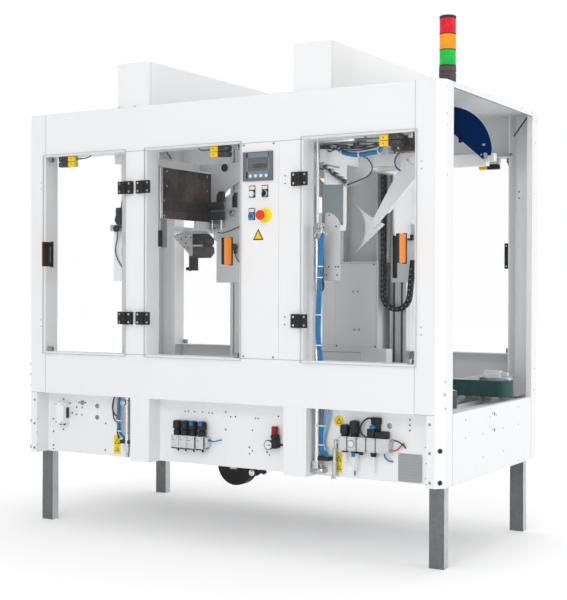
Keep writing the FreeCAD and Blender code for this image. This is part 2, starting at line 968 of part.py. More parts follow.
def press_unit():
    """End strap and rod, standoffs, roller, and the flap press under the cross bar."""
    y = -folding_half
    strap_y = y - end_strap
    strap = fuse([
        box(folding_x - end_strap / 2, folding_x + end_strap / 2, strap_y, y,
            folding_low, left_beam_bottom),
        box(folding_x, folding_x + end_strap_wide, strap_y, y, end_strap_bottom, folding_low),
        box(folding_x - end_strap / 2, folding_x + end_strap, strap_y, y,
            folding_low - end_strap, folding_low),
    ])
    rod_x = folding_x - end_strap - post_rod_radius
    rod = cylinder(post_rod_radius, left_beam_bottom - folding_low,
                   (rod_x, y - post_rod_radius, folding_low), (0, 0, 1))
    fork_y = folding_half + plate_thick + fork_gap
    roller_z = side_plate_low - press_roller_drop
    roller = cylinder(press_roller_radius, fork_gap + plate_thick,
                      (fork_slot_x, fork_y - fork_gap - plate_thick, roller_z), (0, 1, 0))
    middle = folding_x + press_length / 2
    low = bar_bottom - press_drop
    half = press_length / 2
    bracket = prism_y([
        (middle - half - press_width, bar_bottom - press_chamfer),
        (middle - half, bar_bottom), (middle + half + press_chamfer, bar_bottom),
        (middle + 2 * half, bar_bottom - press_chamfer), (middle + 2 * half, low + press_chamfer),
        (middle + 2 * half - press_chamfer, low), (middle, low),
    ], -press_width / 2, press_width / 2)
    barrel = cylinder(press_barrel_radius, press_barrel_length,
                      (middle - half / 2 + press_barrel_radius, 0, low - press_barrel_length),
                      (0, 0, 1))
    return group([strap, rod, roller, fuse([bracket, barrel])])


arm_turn = math.radians(arm_angle)


def pivot():
    return right_head_x + pivot_offset, pivot_z


def arm_front_y():
    """Front face of the arm, in front of the paddle and of the beam."""
    return -(long_beam_y + long_beam_width + arm_gap + arm_sheet)


def tape_arm():
    """Tapered arm from its boss on the long beam down to the paddle's pin."""
    px, pz = pivot()
    y0 = arm_front_y()
    ux = math.cos(arm_turn)
    uz = math.sin(arm_turn)
    rx = px + ux * arm_length
    rz = pz + uz * arm_length
    root = arm_root / 2
    tip = arm_tip / 2
    outline = [
        (px - uz * tip, pz + ux * tip), (rx - uz * root, rz + ux * root),
        (rx + uz * root, rz - ux * root), (px + uz * tip, pz - ux * tip),
    ]
    sheet_part = prism_y(outline, y0, y0 + arm_sheet)
    nose = cylinder(tip, arm_sheet, (px, y0, pz), (0, 1, 0))
    start = 1 / 4
    ax = px + uz * tip + start * (rx - px + uz * (root - tip))
    az = pz - ux * tip + start * (rz - pz - ux * (root - tip))
    bx = rx + uz * root
    bz = rz - ux * root
    fold = prism_y([(ax, az), (bx, bz), (bx - uz * arm_sheet, bz + ux * arm_sheet),
                    (ax - uz * arm_sheet, az + ux * arm_sheet)], y0, y0 + arm_fold)
    boss_y = -(long_beam_y + long_beam_width)
    boss = cylinder(arm_boss, boss_y - y0, (rx, y0, right_beam_bottom + arm_boss), (0, 1, 0))
    pin = cylinder(pivot_radius, arm_sheet + paddle_gap, (px, y0, pz), (0, 1, 0))
    return fuse([sheet_part, nose, fold, boss, pin])


def flap_kicker():
    """Three-pointed paddle on the arm's pin, hollow towards the infeed."""
    px, pz = pivot()
    y = arm_front_y() + arm_sheet + paddle_gap
    top = V(px - paddle_left, y, pz + paddle_up)
    bottom = V(px - paddle_left, y, pz - paddle_down)
    nose = V(px + paddle_right, y, pz)
    hollow = V(px - paddle_left + paddle_hollow, y, pz)
    bow = (top + nose) * 0.5 + V(-paddle_thick, 0, -paddle_thick)
    edges = [
        Part.Arc(bottom, hollow, top),
        Part.Arc(top, bow, nose),
        Part.LineSegment(nose, bottom),
    ]
    wire = Part.Wire([edge.toShape() for edge in edges])
    return Part.Face(wire).extrude(V(0, paddle_thick, 0))


def right_head_plates():
    """Tape disc, wing plate and the guard's bracket on the right head's beams."""
    front_face = -(long_beam_y + long_beam_width)
    beam_x = right_head_x - right_beam_offset - beam_width / 2
    beam_top = right_beam_bottom + beam_height
    disc = cylinder(disc_radius, disc_thick,
                    (right_head_x + disc_offset, front_face - disc_thick, disc_z), (0, 1, 0))
    disc = disc.cut(box(beam_x, beam_x + beam_width, -beam_half, beam_half,
                        right_beam_bottom, beam_top))
    root_z = beam_top - wing_root
    tip_x = wing_left + beam_width + wing_length
    tip_z = root_z - wing_length
    wing = prism_y([
        (wing_left, beam_top), (beam_x, beam_top), (beam_x, root_z),
        (wing_left + beam_width, root_z), (tip_x, tip_z),
        (tip_x - wing_nose, tip_z - wing_nose), (wing_left, wing_low),
    ], -wing_y - wing_sheet, -wing_y)
    bracket = box(long_beam_rear_end, long_beam_rear_end + guard_bracket,
                  long_beam_y, long_beam_y + guard_bracket,
                  right_beam_bottom + guard_bracket / 2, beam_top)
    return group([disc, wing, bracket])


def roll_guard():
    """Blue segment of a disc beside the upper tape roll, its chord facing down."""
    x = right_head_x + guard_offset
    y = long_beam_y - guard_thick
    disc = cylinder(guard_radius, guard_thick, (x, y, guard_z), (0, 1, 0))
    turn = math.radians(guard_chord_angle)
    ux = math.cos(turn)
    uz = -math.sin(turn)
    mx = x + guard_chord_drop
    far = 2 * guard_radius
    outline = [
        (mx - ux * far, guard_z - uz * far), (mx + ux * far, guard_z + uz * far),
        (mx + ux * far - uz * far, guard_z + uz * far + ux * far),
        (mx - ux * far - uz * far, guard_z - uz * far + ux * far),
    ]
    return disc.common(prism_y(outline, y, y + guard_thick))


def energy_chain():
    """Hanging loop of the cable chain with its two end brackets."""
    y0 = beam_half - chain_back_gap - chain_width
    y1 = y0 + chain_width
    left = right_head_x - chain_left_offset
    outer = chain_span / 2
    inner = outer - chain_height
    centre = left + outer
    bend = chain_bottom + outer
    beam_x = right_head_x - right_beam_offset - beam_width / 2
    beam_top = right_beam_bottom + beam_height
    parts = [box(left, left + chain_height, y0, y1, bend, beam_top)]
    parts.append(box(left, beam_x, y0, y1, beam_top - chain_height, beam_top))
    right = left + chain_span - chain_height
    leg = [(right, bend), (right + chain_height, bend),
           (right + chain_height + chain_lean, chain_end), (right + chain_lean, chain_end)]
    parts.append(prism_y(leg, y0, y1))
    x1 = right + chain_height + chain_lean
    parts.append(box(x1 - chain_height, x1, y1, beam_half, chain_end - chain_height,
                     chain_end))
    ring = cylinder(outer, chain_width, (centre, y0, bend), (0, 1, 0))
    ring = ring.cut(cylinder(inner, chain_width, (centre, y0, bend), (0, 1, 0)))
    lower_half = box(centre - outer, centre + outer, y0, y1, chain_bottom, bend)
    parts.append(ring.common(lower_half))
    return fuse(parts)


lift_y = front + lift_inset


def lift_cylinder(x):
    """Air cylinder in front of the guides with its rod up to the top beam."""
    body = cylinder(lift_radius, lift_top - lift_bottom, (x, lift_y, lift_bottom), (0, 0, 1))
    half = lift_head_width / 2
    head = box(x - half, x + half, lift_y - half, lift_y + half, lift_top,
               lift_top + lift_head_height)
    foot = box(x - half, x + half, lift_y - half, bay_back, lift_bottom - lift_head_height / 2,
               lift_bottom)
    rod = cylinder(lift_rod_radius, window_top - lift_top, (x, lift_y, lift_top), (0, 0, 1))
    return fuse([body, head, foot, rod])


def air_tubes():
    """Straight tubes beside the lift cylinders down to their manifold blocks."""
    parts = []
    manifold_top = manifold_bottom + manifold_height
    runs = (
        (lift_right_x, 1, tube_right_gap, lift_top),
        (lift_left_x, -1, tube_left_gap, window_bottom - sheet),
    )
    for x, side, gap, top in runs:
        half = lift_head_width / 2
        xs = [x + side * (lift_radius + gap + tube_pitch * i) for i in range(3)]
        block = box(min(xs) - tube_pitch, max(xs) + tube_pitch, lift_y - half, bay_back,
                    manifold_bottom, manifold_top)
        pieces = [block]
        for tube_x in xs:
            pieces.append(cylinder(tube_radius, top - manifold_top,
                                   (tube_x, lift_y, manifold_top), (0, 0, 1)))
        if side > 0:
            pieces.append(box(x + half, max(xs) + tube_pitch, lift_y - half, lift_y + half,
                              lift_top, lift_top + lift_head_height / 2))
        parts.append(fuse(pieces))
    return group(parts)


def beam_slots():
    """Room in the lower beam's folds for the lift cylinders and the tubes."""
    y0 = lift_y - lift_radius - lift_clearance
    y1 = lift_y + lift_radius + lift_clearance
    reach = lift_radius + lift_clearance
    bundle = 2 * tube_pitch + tube_radius + lift_clearance
    right_far = lift_radius + tube_right_gap + bundle
    left_far = lift_radius + tube_left_gap + bundle
    return Part.makeCompound([
        box(lift_right_x - reach, lift_right_x + right_far, y0, y1, bay_top, window_bottom),
        box(lift_left_x - reach, lift_left_x + reach, y0, y1, bay_top, window_bottom),
        box(lift_left_x - left_far, lift_left_x - reach, y0, y1, bay_top, bay_top + sheet),
    ])


def cabinet():
    """Light grey box in the rear column, and the open trough behind the chain's run."""
    back = half_depth - sheet
    body = box(rear_column_left + column_lip, cabinet_right, back - cabinet_depth, back, window_bottom,
               cabinet_top)
    chain_left = right_head_x - chain_left_offset
    y0 = beam_half - chain_back_gap - chain_width
    back_y = beam_half - trough_sheet
    top = frame_top - sheet
    x0 = cabinet_right - trough_gap
    wall = box(x0, x0 + trough_sheet, y0, beam_half, cabinet_top, top)
    floor_ = box(x0, chain_left + chain_height, back_y, beam_half, cabinet_top, top)
    return fuse([body, wall, floor_])


def junction_box():
    """Small white box in the left bay."""
    x0 = -foot_x + junction_inset
    return box(x0, x0 + junction_width, bay_back - junction_depth, bay_back, junction_bottom,
               junction_bottom + junction_height)


def regulator(x, z):
    """Round valve body with a wider cap."""
    y = bay_back - block_depth / 2
    body = cylinder(valve_radius - valve_cap / 4, valve_height, (x, y, z), (0, 0, 1))
    cap = cylinder(valve_radius, valve_cap * 2, (x, y, z + valve_height - 2 * valve_cap),
                   (0, 0, 1))
    return fuse([body, cap])


def valve_bank():
    """Row of four pressure regulators with the gauge unit at the far end of the bay."""
    top = bank_bottom + bank_height
    width = 4 * valve_pitch
    parts = [box(bank_left, bank_left + width, bay_back - block_depth, bay_back, bank_bottom,
                 top)]
    for i in range(4):
        parts.append(regulator(bank_left + valve_margin + i * valve_pitch, top))
    x0 = bay_cover_spans[1][0] - gauge_offset
    middle = (bank_bottom + top) / 2
    gauge_x = x0 - gauge_radius / 2
    gauge = [
        box(x0 - gauge_radius, x0 + valve_pitch, bay_back - block_depth, bay_back,
            bank_bottom + valve_cap, top),
        regulator(x0 + valve_margin, top),
        cylinder(gauge_radius, gauge_depth, (gauge_x, bay_back - block_depth, middle),
                 (0, -1, 0)),
    ]
    return group([fuse(parts), fuse(gauge)])


def air_preparation():
    """Filter, regulators and valves in one row in the right bay."""
    x0 = bay_cover_spans[1][1] + air_left
    x1 = x0 + air_length
    top = air_bottom + air_block_height
    y = bay_back - block_depth / 2
    parts = [box(x0, x1, bay_back - block_depth, bay_back, air_bottom, top)]
    for i in (0, 1, 3, 4):
        parts.append(regulator(x0 + valve_pitch / 2 + i * valve_pitch, top))
    for i, share in ((1, 1.0), (3, 0.8)):
        drop = air_bowl_drop * share
        x = x0 + valve_pitch / 2 + i * valve_pitch
        parts.append(cylinder(air_bowl_radius, drop, (x, y, air_bottom - drop), (0, 0, 1)))
    return fuse(parts)


def main():
    os.makedirs("parts", exist_ok=True)
    post = corner_post()
    save("corner_post_front_right", post)
    save("corner_post_front_left", flip_x(post))
    save("corner_post_rear_right", flip_y(post))
    save("corner_post_rear_left", flip_y(flip_x(post)))
    right_leg = leg()
    left_leg = flip_x(right_leg)
    save("legs", group([right_leg, left_leg, flip_y(right_leg), flip_y(left_leg)]))

    top_beam = channel(-seam_x, seam_x, window_top, frame_top, False)
    lower_beam = channel(-seam_x, seam_x, bay_top, window_bottom, False)
    mid_post = channel(mid_post_left, mid_post_right, window_bottom, window_top, True)
    save("front_top_beam", top_beam)
    save("rear_top_beam", flip_y(top_beam))
    save("front_lower_beam", lower_beam.cut(beam_slots()))
    save("rear_lower_beam", flip_y(lower_beam))
    save("front_mid_post", mid_post)
    save("rear_mid_post", flip_y(mid_post))
    save("control_column", control_column())
    save("rear_column", rear_column())
    save("front_bay_panel", bay_panel(bay_cover_spans))
    save("rear_bay_panel", flip_y(bay_panel(bay_cover_spans)))
    save("end_aprons", group([end_apron(), flip_x(end_apron())]))
    save("roof", roof())
    save("left_hood", hood(left_head_x))
    save("right_hood", hood(right_head_x))

    save("operator_screen", operator_screen())
    save("push_buttons", group([push_button(x, z) for x, z in button_places]))
    save("emergency_stop", emergency_stop())
    save("signal_tower", signal_tower())

    fixed_leaves = []
    for name, door in front_doors.items():
        save(name + "_pane", pane(door))
        save(name + "_hardware", door_hardware(door))
        fixed_leaves += [post_leaf(door, level) for level in (hinge_lower, hinge_upper)]
    for name, door in rear_doors.items():
        save(name + "_pane", flip_y(pane(door)))
        save(name + "_hardware", flip_y(door_hardware(door)))
        fixed_leaves += [flip_y(post_leaf(door, level)) for level in (hinge_lower, hinge_upper)]
    save("post_hinges", group(fixed_leaves))
    catches = door_catches(front_doors.values())
    catches += [flip_y(catch) for catch in door_catches(rear_doors.values())]
    save("door_catches", group(catches))
    switches = [door_switch(door) for door in front_doors.values()]
    switches += [flip_y(door_switch(door)) for door in rear_doors.values()]
    save("door_switches", group(switches))

    save("conveyor_frame", conveyor_frame())
    save("rollers", rollers())
    save("side_belts", group([side_belt(), flip_y(side_belt())]))
    save("side_drives", group([side_drive(), fuse([flip_y(side_drive())] + drive_housing())]))
    save("tape_roll", tape_roll())
    save("bottom_tape_unit", bottom_tape_unit())

    guides = []
    for head_x in (left_head_x, right_head_x):
        guides += [guide_column(head_x), flip_y(guide_column(head_x))]
    save("guide_columns", group(guides))
    save("left_head_frame", left_head_frame())
    save("folding_plate", folding_plate())
    save("left_head_plates", left_head_plates())
    save("press_unit", press_unit())
    save("right_head_frame", right_head_frame())
    save("right_head_plates", right_head_plates())
    save("tape_arm", tape_arm())
    save("flap_kicker", flap_kicker())
    save("roll_guard", roll_guard())
    save("energy_chain", energy_chain())
    save("lift_cylinders", group([lift_cylinder(lift_left_x), lift_cylinder(lift_right_x)]))
    save("air_tubes", air_tubes())
    save("electrical_boxes", group([cabinet(), junction_box()]))
    save("valve_bank", valve_bank())
    save("air_preparation", air_preparation())


main()
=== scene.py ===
"""Looks of the enclosed carton sealer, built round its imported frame.

Sizes in this file are in millimetres until a mesh is made, where they become metres. X runs
along the machine towards the outfeed, the operator stands on the -Y side, and Z is up.
"""
import bpy
import bmesh
import math
import numpy as np
from mathutils import Matrix, Vector


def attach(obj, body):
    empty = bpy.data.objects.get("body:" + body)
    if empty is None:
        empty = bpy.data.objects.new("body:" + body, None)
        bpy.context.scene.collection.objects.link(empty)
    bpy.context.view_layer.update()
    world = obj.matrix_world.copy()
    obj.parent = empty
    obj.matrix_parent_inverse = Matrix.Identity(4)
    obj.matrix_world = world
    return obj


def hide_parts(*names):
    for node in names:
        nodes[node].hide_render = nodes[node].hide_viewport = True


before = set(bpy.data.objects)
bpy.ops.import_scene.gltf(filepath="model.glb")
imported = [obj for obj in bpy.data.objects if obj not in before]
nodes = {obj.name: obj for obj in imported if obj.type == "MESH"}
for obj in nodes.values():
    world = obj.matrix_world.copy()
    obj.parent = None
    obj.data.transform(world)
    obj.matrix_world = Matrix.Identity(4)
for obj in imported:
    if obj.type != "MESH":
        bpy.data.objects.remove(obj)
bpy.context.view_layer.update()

OUT = (0, -1, 0)
FRONT, BAY = -538, -460
ROOF, END = 1850, 1030


# Materials

class Value:
    """A number that changes over a surface; arithmetic on it adds Math nodes."""

    def __init__(self, paint, socket):
        self.paint = paint
        self.socket = socket

    def math(self, operation, *inputs):
        made = self.paint.node("ShaderNodeMath", {"operation": operation}, inputs)
        return Value(self.paint, made.outputs[0])

    def sine(self):
        return self.math("SINE", self)

    def absolute(self):
        return self.math("ABSOLUTE", self)

    def held(self):
        return self.math("MAXIMUM", self.math("MINIMUM", self, 1.0), 0.0)


def operator(operation, reflected=False):
    """Overload that adds one Math node; the reflected form takes its inputs in turn."""
    if reflected:
        return lambda value, other: value.math(operation, other, value)
    return lambda value, other: value.math(operation, value, other)


for word, operation in (("add", "ADD"), ("sub", "SUBTRACT"), ("mul", "MULTIPLY")):
    setattr(Value, f"__{word}__", operator(operation))
    setattr(Value, f"__r{word}__", operator(operation, True))


class Paint:
    """One material: a Principled surface whose sockets take numbers, colours or patterns."""

    def __init__(self, name, **sockets):
        self.material = bpy.data.materials.new(name)
        self.material.use_nodes = True
        self.tree = self.material.node_tree
        self.surface = self.tree.nodes["Principled BSDF"]
        self.place = self.node("ShaderNodeTexCoord").outputs["Object"]
        for socket, value in sockets.items():
            self.set(socket.replace("_", " ").title(), value)

    def node(self, kind, settings=None, sockets=()):
        made = self.tree.nodes.new(kind)
        for key, value in (settings or {}).items():
            setattr(made, key, value)
        pairs = sockets.items() if isinstance(sockets, dict) else enumerate(sockets)
        for key, value in pairs:
            self.join(made.inputs[key], value)
        return made

    def join(self, socket, value):
        if isinstance(value, Value):
            value = value.socket
        if isinstance(value, bpy.types.NodeSocket):
            self.tree.links.new(value, socket)
        elif value is not None:
            socket.default_value = value

    def set(self, socket, value):
        socket = {"Ior": "IOR", "Specular Ior Level": "Specular IOR Level"}.get(socket, socket)
        if isinstance(value, tuple) and "Color" in socket:
            value = (*value, 1.0)
        self.join(self.surface.inputs[socket], value)

    def tone(self, colour, rough):
        """Colour and roughness over the surface."""
        self.set("Base Color", colour)
        self.set("Roughness", rough.held())

    def scaled(self, x, y, z):
        made = self.node("ShaderNodeMapping", None, {"Vector": self.place, "Scale": (x, y, z)})
        return made.outputs[0]

    def noise(self, scale, detail=3.0, place=None):
        made = self.node("ShaderNodeTexNoise", None, {"Vector": place or self.place,
            "Scale": scale, "Detail": detail, "Roughness": 0.55})
        return Value(self, made.outputs[0])

    def cells(self, scale):
        made = self.node("ShaderNodeTexVoronoi", None, {"Vector": self.place, "Scale": scale})
        return Value(self, made.outputs["Color"])

    def axis(self, name, vector=None):
        made = self.node("ShaderNodeSeparateXYZ", None, {"Vector": vector or self.place})
        return Value(self, made.outputs[name])

    def length(self, vector):
        made = self.node("ShaderNodeVectorMath", {"operation": "LENGTH"}, [vector])
        return Value(self, made.outputs["Value"])

    def step(self, value, low, high):
        made = self.node("ShaderNodeMapRange", {"interpolation_type": "SMOOTHSTEP"},
            {"Value": value, "From Min": low, "From Max": high})
        return Value(self, made.outputs[0])

    def mix(self, share, first, second):
        made = self.node("ShaderNodeMix", {"data_type": "RGBA"})
        self.join(made.inputs[0], share)
        for socket, colour in ((made.inputs[6], first), (made.inputs[7], second)):
            self.join(socket, (*colour, 1.0) if isinstance(colour, tuple) else colour)
        return made.outputs[2]

    def bump(self, height, strength, distance):
        edge = self.surface.inputs["Normal"]
        made = self.node("ShaderNodeBump", None,
            {"Height": height, "Strength": strength, "Distance": distance})
        if edge.is_linked:
            self.tree.links.new(edge.links[0].from_socket, made.inputs["Normal"])
        self.tree.links.new(made.outputs[0], edge)
        return self

    def soft_edges(self, radius):
        made = self.node("ShaderNodeBevel", {"samples": 4}, {"Radius": radius})
        self.tree.links.new(made.outputs[0], self.surface.inputs["Normal"])


def tint(colour, factor):
    """Colour made lighter or darker by a factor, held at full strength."""
    return tuple(min(1.0, c * factor) for c in colour)


def coated(name, colour, rough=0.42, soil=0.06):
    """Powder coat: orange peel, cloudy tone, fine specks, and dust low down."""
    p = Paint(name)
    cloud = p.noise(3.0, 4.0)
    peel = p.noise(420.0, 2.0)
    specks = p.step(p.noise(230.0, 2.0), 0.69, 0.74)
    streak = p.step(p.noise(1.0, 3.0, p.scaled(34.0, 34.0, 2.2)), 0.56, 0.74)
    low = p.step(p.axis("Z"), 0.75, 0.28)
    dull = (cloud * soil + specks * 0.05 + streak * (0.015 + low * 0.05)).held()
    p.tone(p.mix(dull, colour, tint(colour, 0.55)), rough - 0.06 + cloud * 0.12 + streak * 0.06)
    p.soft_edges(0.0012)
    return p.bump(peel, 0.10, 0.0004)


def plastic(name, colour, rough=0.45, depth=0.0002, shade=0.75):
    """Moulded plastic: fine grain, a slightly uneven tone and rubbed patches."""
    p = Paint(name, specular_ior_level=0.25)
    cloud = p.noise(14.0, 3.0)
    rubbed = p.step(p.noise(38.0, 4.0), 0.55, 0.72)
    p.tone(p.mix((cloud * 0.5 + rubbed * 0.2).held(), colour, tint(colour, shade)),
        rough - 0.05 + cloud * 0.16 - rubbed * 0.08)
    return p.bump(p.noise(900.0, 2.0), 0.25, depth)


def metal(name, colour, rough=0.3, stretch=(1.0, 1.0, 1.0), metallic=1.0):
    """Bare or plated metal: drawn streaks, smudges and fine scratches."""
    p = Paint(name, metallic=metallic)
    drawn = p.noise(90.0, 4.0, p.scaled(*stretch))
    smudge = p.noise(9.0, 4.0)
    share = drawn * 0.35 + smudge * 0.3
    p.tone(p.mix(share.held(), tint(colour, 1.12), tint(colour, 0.66)),
        rough - 0.1 + drawn * 0.14 + smudge * 0.12)
    return p.bump(drawn, 0.18, 0.0003)


def sheet_zinc(name, colour, rough=0.42, ends=None):
    """Galvanised sheet: crystal spangle with dull streaks. Given ends, faces that look along X
    take that lighter tone as painted light, and the other faces keep the darker tone as painted
    shade.
    """
    p = Paint(name, metallic=0.75)
    crystal, small = p.cells(55.0), p.cells(140.0)
    cloud = p.noise(5.0, 4.0)
    streak = p.noise(1.0, 4.0, p.scaled(60.0, 60.0, 3.0))
    share = (crystal * 0.3 + small * 0.15 + cloud * 0.3 + streak * 0.25).held()
    base = p.mix(share, tint(colour, 1.18), tint(colour, 0.7))
    # Painted light: faces turned along X get the lighter ends tone, as if lit from the side, while
    # the fronts keep the darker tone.
    if ends:
        normal = p.node("ShaderNodeNewGeometry").outputs["Normal"]
        across = p.step(p.axis("X", normal).absolute(), 0.6, 0.9)
        base = p.mix(across, base, p.mix(share, tint(ends, 1.1), tint(ends, 0.8)))
    p.tone(base, rough - 0.1 + crystal * 0.14 + streak * 0.12)
    p.soft_edges(0.0015)
    return p.bump(crystal + streak, 0.08, 0.0004)


def pane_paint():
    """Clear sheet, thin and hard: a faint cool tone with wiped smears."""
    p = Paint("clear_pane", base_color=(0.93, 0.96, 0.965), ior=1.45, specular_ior_level=0.5)
    smear = p.step(p.noise(2.2, 5.0, p.scaled(1.0, 1.0, 0.35)), 0.5, 0.75)
    p.set("Alpha", (0.010 + smear * 0.014).held())
    p.set("Roughness", (0.03 + smear * 0.12).held())
    return p


def laminate_paint():
    """Brown phenolic board: dark cloudy resin under a glossy skin, with a painted shadow band
    where the boards lap.
    """
    p = Paint("brown_laminate", coat_weight=0.06, coat_roughness=0.12, specular_ior_level=0.25)
    cloud = p.step(p.noise(9.0, 4.0), 0.34, 0.66)
    fleck = p.step(p.noise(70.0, 4.0), 0.5, 0.7)
    fibre = p.noise(46.0, 3.0, p.scaled(1.0, 1.0, 0.14))
    dark = p.mix((cloud * 0.75 + fibre * 0.5).held(), (0.128, 0.086, 0.080),
        (0.013, 0.007, 0.0065))
    # Painted shadow: a band from 1.425 to 1.48 m high is darkened as the shade at the joint
    # between the boards.
    height = p.axis("Z")
    lap_shadow_band = p.step(height, 1.4245, 1.4275) * p.step(height, 1.4805, 1.4775)
    dark = p.mix(lap_shadow_band * 0.7, dark, (0.012, 0.006, 0.0055))
    p.tone(p.mix(fleck * 0.2, dark, (0.12, 0.08, 0.062)), 0.22 + cloud * 0.2 + fleck * 0.1)
    return p.bump(fibre + cloud, 0.12, 0.0004)


def belt_paint():
    """Friction belt: dark green cover with a fine cross rib."""
    p = Paint("green_belt")
    rub = p.noise(26.0, 4.0)
    p.tone(p.mix(rub, (0.009, 0.055, 0.056), (0.026, 0.088, 0.088)), 0.5 + rub * 0.3)
    return p.bump((p.axis("X") * 900.0).sine(), 0.35, 0.0008)


def guard_paint():
    """Blue coat on the roll guard, deep and glossy."""
    p = Paint("blue_guard_coat", specular_ior_level=0.12)
    cloud = p.noise(7.0, 3.0)
    p.tone(p.mix(cloud, (0.0008, 0.019, 0.098), (0.0015, 0.027, 0.125)), 0.26 + cloud * 0.14)
    return p.bump(p.noise(300.0, 2.0), 0.1, 0.0003)


def tape_paint():
    """Wound roll: fine rings of tape edges round the hub on dark film."""
    p = Paint("wound_tape", specular_ior_level=0.25)
    hub = p.node("ShaderNodeMapping", None, {"Vector": p.place, "Location": (0.222, 0.0, -0.256)})
    away = p.node("ShaderNodeVectorMath", {"operation": "MULTIPLY"},
        [hub.outputs[0], (1.0, 0.0, 1.0)])
    radius = p.length(away.outputs[0])
    rings = (radius * 2600.0).sine()
    bands = p.noise(60.0, 3.0, radius.socket)
    p.tone(p.mix((rings * 0.12 + bands * 0.6).held(), (0.008, 0.0075, 0.007),
        (0.028, 0.024, 0.021)), 0.32 + bands * 0.25)
    return p.bump(rings, 0.2, 0.0004)


def bowl_paint():
    """Clear bowl with a faint milky wall."""
    p = Paint("clear_bowl", base_color=(0.90, 0.93, 0.94), ior=1.45)
    haze = p.noise(24.0, 3.0)
    p.set("Alpha", (0.30 + haze * 0.14).held())
    p.set("Roughness", (0.08 + haze * 0.1).held())
    return p


def lens_paint(name, colour, painted_glow):
    """Tinted lens: saturated body, glossy skin and a faint painted glow that brightens the colour.
    """
    p = Paint(name, specular_ior_level=0.22, emission_color=colour, emission_strength=painted_glow)
    cloud = p.noise(30.0, 3.0)
    p.tone(p.mix(cloud, colour, tint(colour, 0.6)), 0.2 + cloud * 0.1)
    return p.bump(p.noise(160.0, 2.0), 0.05, 0.0002)


def screen_paint():
    """Switched-off display: dark grey-green glass with faint lit rows."""
    p = Paint("display_glass", coat_weight=0.8, coat_roughness=0.05)
    rows = p.step((p.axis("Z") * 620.0).sine(), 0.75, 0.95)
    part = p.step(p.noise(28.0, 2.0), 0.45, 0.6)
    p.tone(p.mix((rows * part * 0.5).held(), (0.075, 0.085, 0.082),
        (0.17, 0.19, 0.18)), 0.12 + part * 0.06)
    return p


FINE, SMOOTH = 0.0001, 0.00005

WHITE = coated("white_powder_coat", (0.865, 0.872, 0.88))
WHITE_HOOD = coated("white_hood_coat", (0.87, 0.876, 0.882), 0.5, 0.04)
GREY_PAINT = coated("light_grey_coat", (0.78, 0.795, 0.80), 0.38, 0.10)
# Dark teal-grey; on the gusset it is a sheet of painted shade.
TEAL_GREY = coated("teal_grey_sheet", (0.17, 0.21, 0.22), 0.4, 0.2)
PALE_PAINT = coated("pale_arm_coat", (0.86, 0.868, 0.875), 0.34, 0.08)
CARRIAGE = coated("carriage_coat", (0.60, 0.605, 0.61), 0.4, 0.12)
# Legs: one zinc in two tones by face direction, the dark fronts painted shade and the faces along
# X painted light.
LEG_ZINC = sheet_zinc("galvanised_leg", (0.17, 0.18, 0.185), ends=(0.56, 0.57, 0.575))
ZINC = sheet_zinc("bright_zinc", (0.60, 0.615, 0.63), 0.34)
STRAP = sheet_zinc("blue_grey_strap", (0.34, 0.375, 0.40), 0.36)
ALUMINIUM = metal("anodised_profile", (0.66, 0.67, 0.68), 0.36, (1.0, 1.0, 0.03), 0.85)
STEEL = metal("ground_steel", (0.60, 0.605, 0.61), 0.26, (1.0, 0.05, 1.0))
CHROME = metal("bright_fitting", (0.72, 0.725, 0.73), 0.18)
ROLLER = metal("zinc_roller", (0.66, 0.67, 0.685), 0.3, (1.0, 0.02, 1.0))
BOLT = metal("zinc_bolt", (0.30, 0.305, 0.31), 0.34)
NICKEL = metal("nickel_fitting", (0.46, 0.46, 0.465), 0.27)
NAMEPLATE = metal("grey_nameplate", (0.33, 0.335, 0.34), 0.4, metallic=0.4)
SCREEN_CASE = plastic("screen_case", (0.17, 0.16, 0.168), 0.42)
BLACK = plastic("black_nylon", (0.019, 0.019, 0.02), 0.42)
DARK = plastic("dark_housing", (0.030, 0.031, 0.034), 0.5)
BROWN_CASE = plastic("brown_grey_case", (0.085, 0.072, 0.066), 0.5)
CHAIN = plastic("chain_nylon", (0.008, 0.008, 0.009), 0.42)
CABLE = plastic("black_cable", (0.03, 0.03, 0.032), 0.4, FINE)
GREY_CASE = plastic("grey_case", (0.42, 0.45, 0.47), 0.45)
PALE_CASE = plastic("pale_valve_body", (0.66, 0.67, 0.68), 0.42)
PANE_EDGE = plastic("pane_edge", (0.58, 0.60, 0.605), 0.3, SMOOTH)
SEAM = plastic("seam_shadow", (0.40, 0.405, 0.41), 0.6, SMOOTH)
WHITE_KEY = plastic("white_key", (0.82, 0.83, 0.83), 0.35, SMOOTH)
PANEL_BLUE = plastic("blue_grey_film", (0.165, 0.25, 0.30), 0.4, SMOOTH)
ORANGE = plastic("orange_grip", (1.0, 0.29, 0.03), 0.36, FINE)
YELLOW = plastic("yellow_switch", (0.92, 0.60, 0.010), 0.34, FINE, 0.85)
LEMON = plastic("lemon_ring", (0.96, 0.80, 0.012), 0.36, SMOOTH, 0.88)
LABEL = plastic("yellow_label", (0.90, 0.66, 0.02), 0.4, SMOOTH)
RED = plastic("red_mushroom", (0.80, 0.052, 0.02), 0.3, SMOOTH, 0.85)
DEEP_RED = plastic("deep_red_cap", (0.30, 0.012, 0.02), 0.3, SMOOTH)
RED_TUBE = plastic("red_tube", (0.62, 0.03, 0.03), 0.3, SMOOTH)
BLUE_CAP = plastic("blue_cap", (0.004, 0.19, 0.52), 0.35, FINE)
BLUE_TUBE = plastic("blue_tube", (0.002, 0.20, 0.47), 0.32, SMOOTH)
TEAL_TUBE = plastic("dark_teal_tube", (0.012, 0.10, 0.19), 0.34, SMOOTH)
PALE_TUBE = plastic("pale_blue_tube", (0.20, 0.50, 0.72), 0.28, SMOOTH)
GREEN_LEAD = plastic("green_gland", (0.02, 0.30, 0.14), 0.4, FINE)
BOWL = bowl_paint()
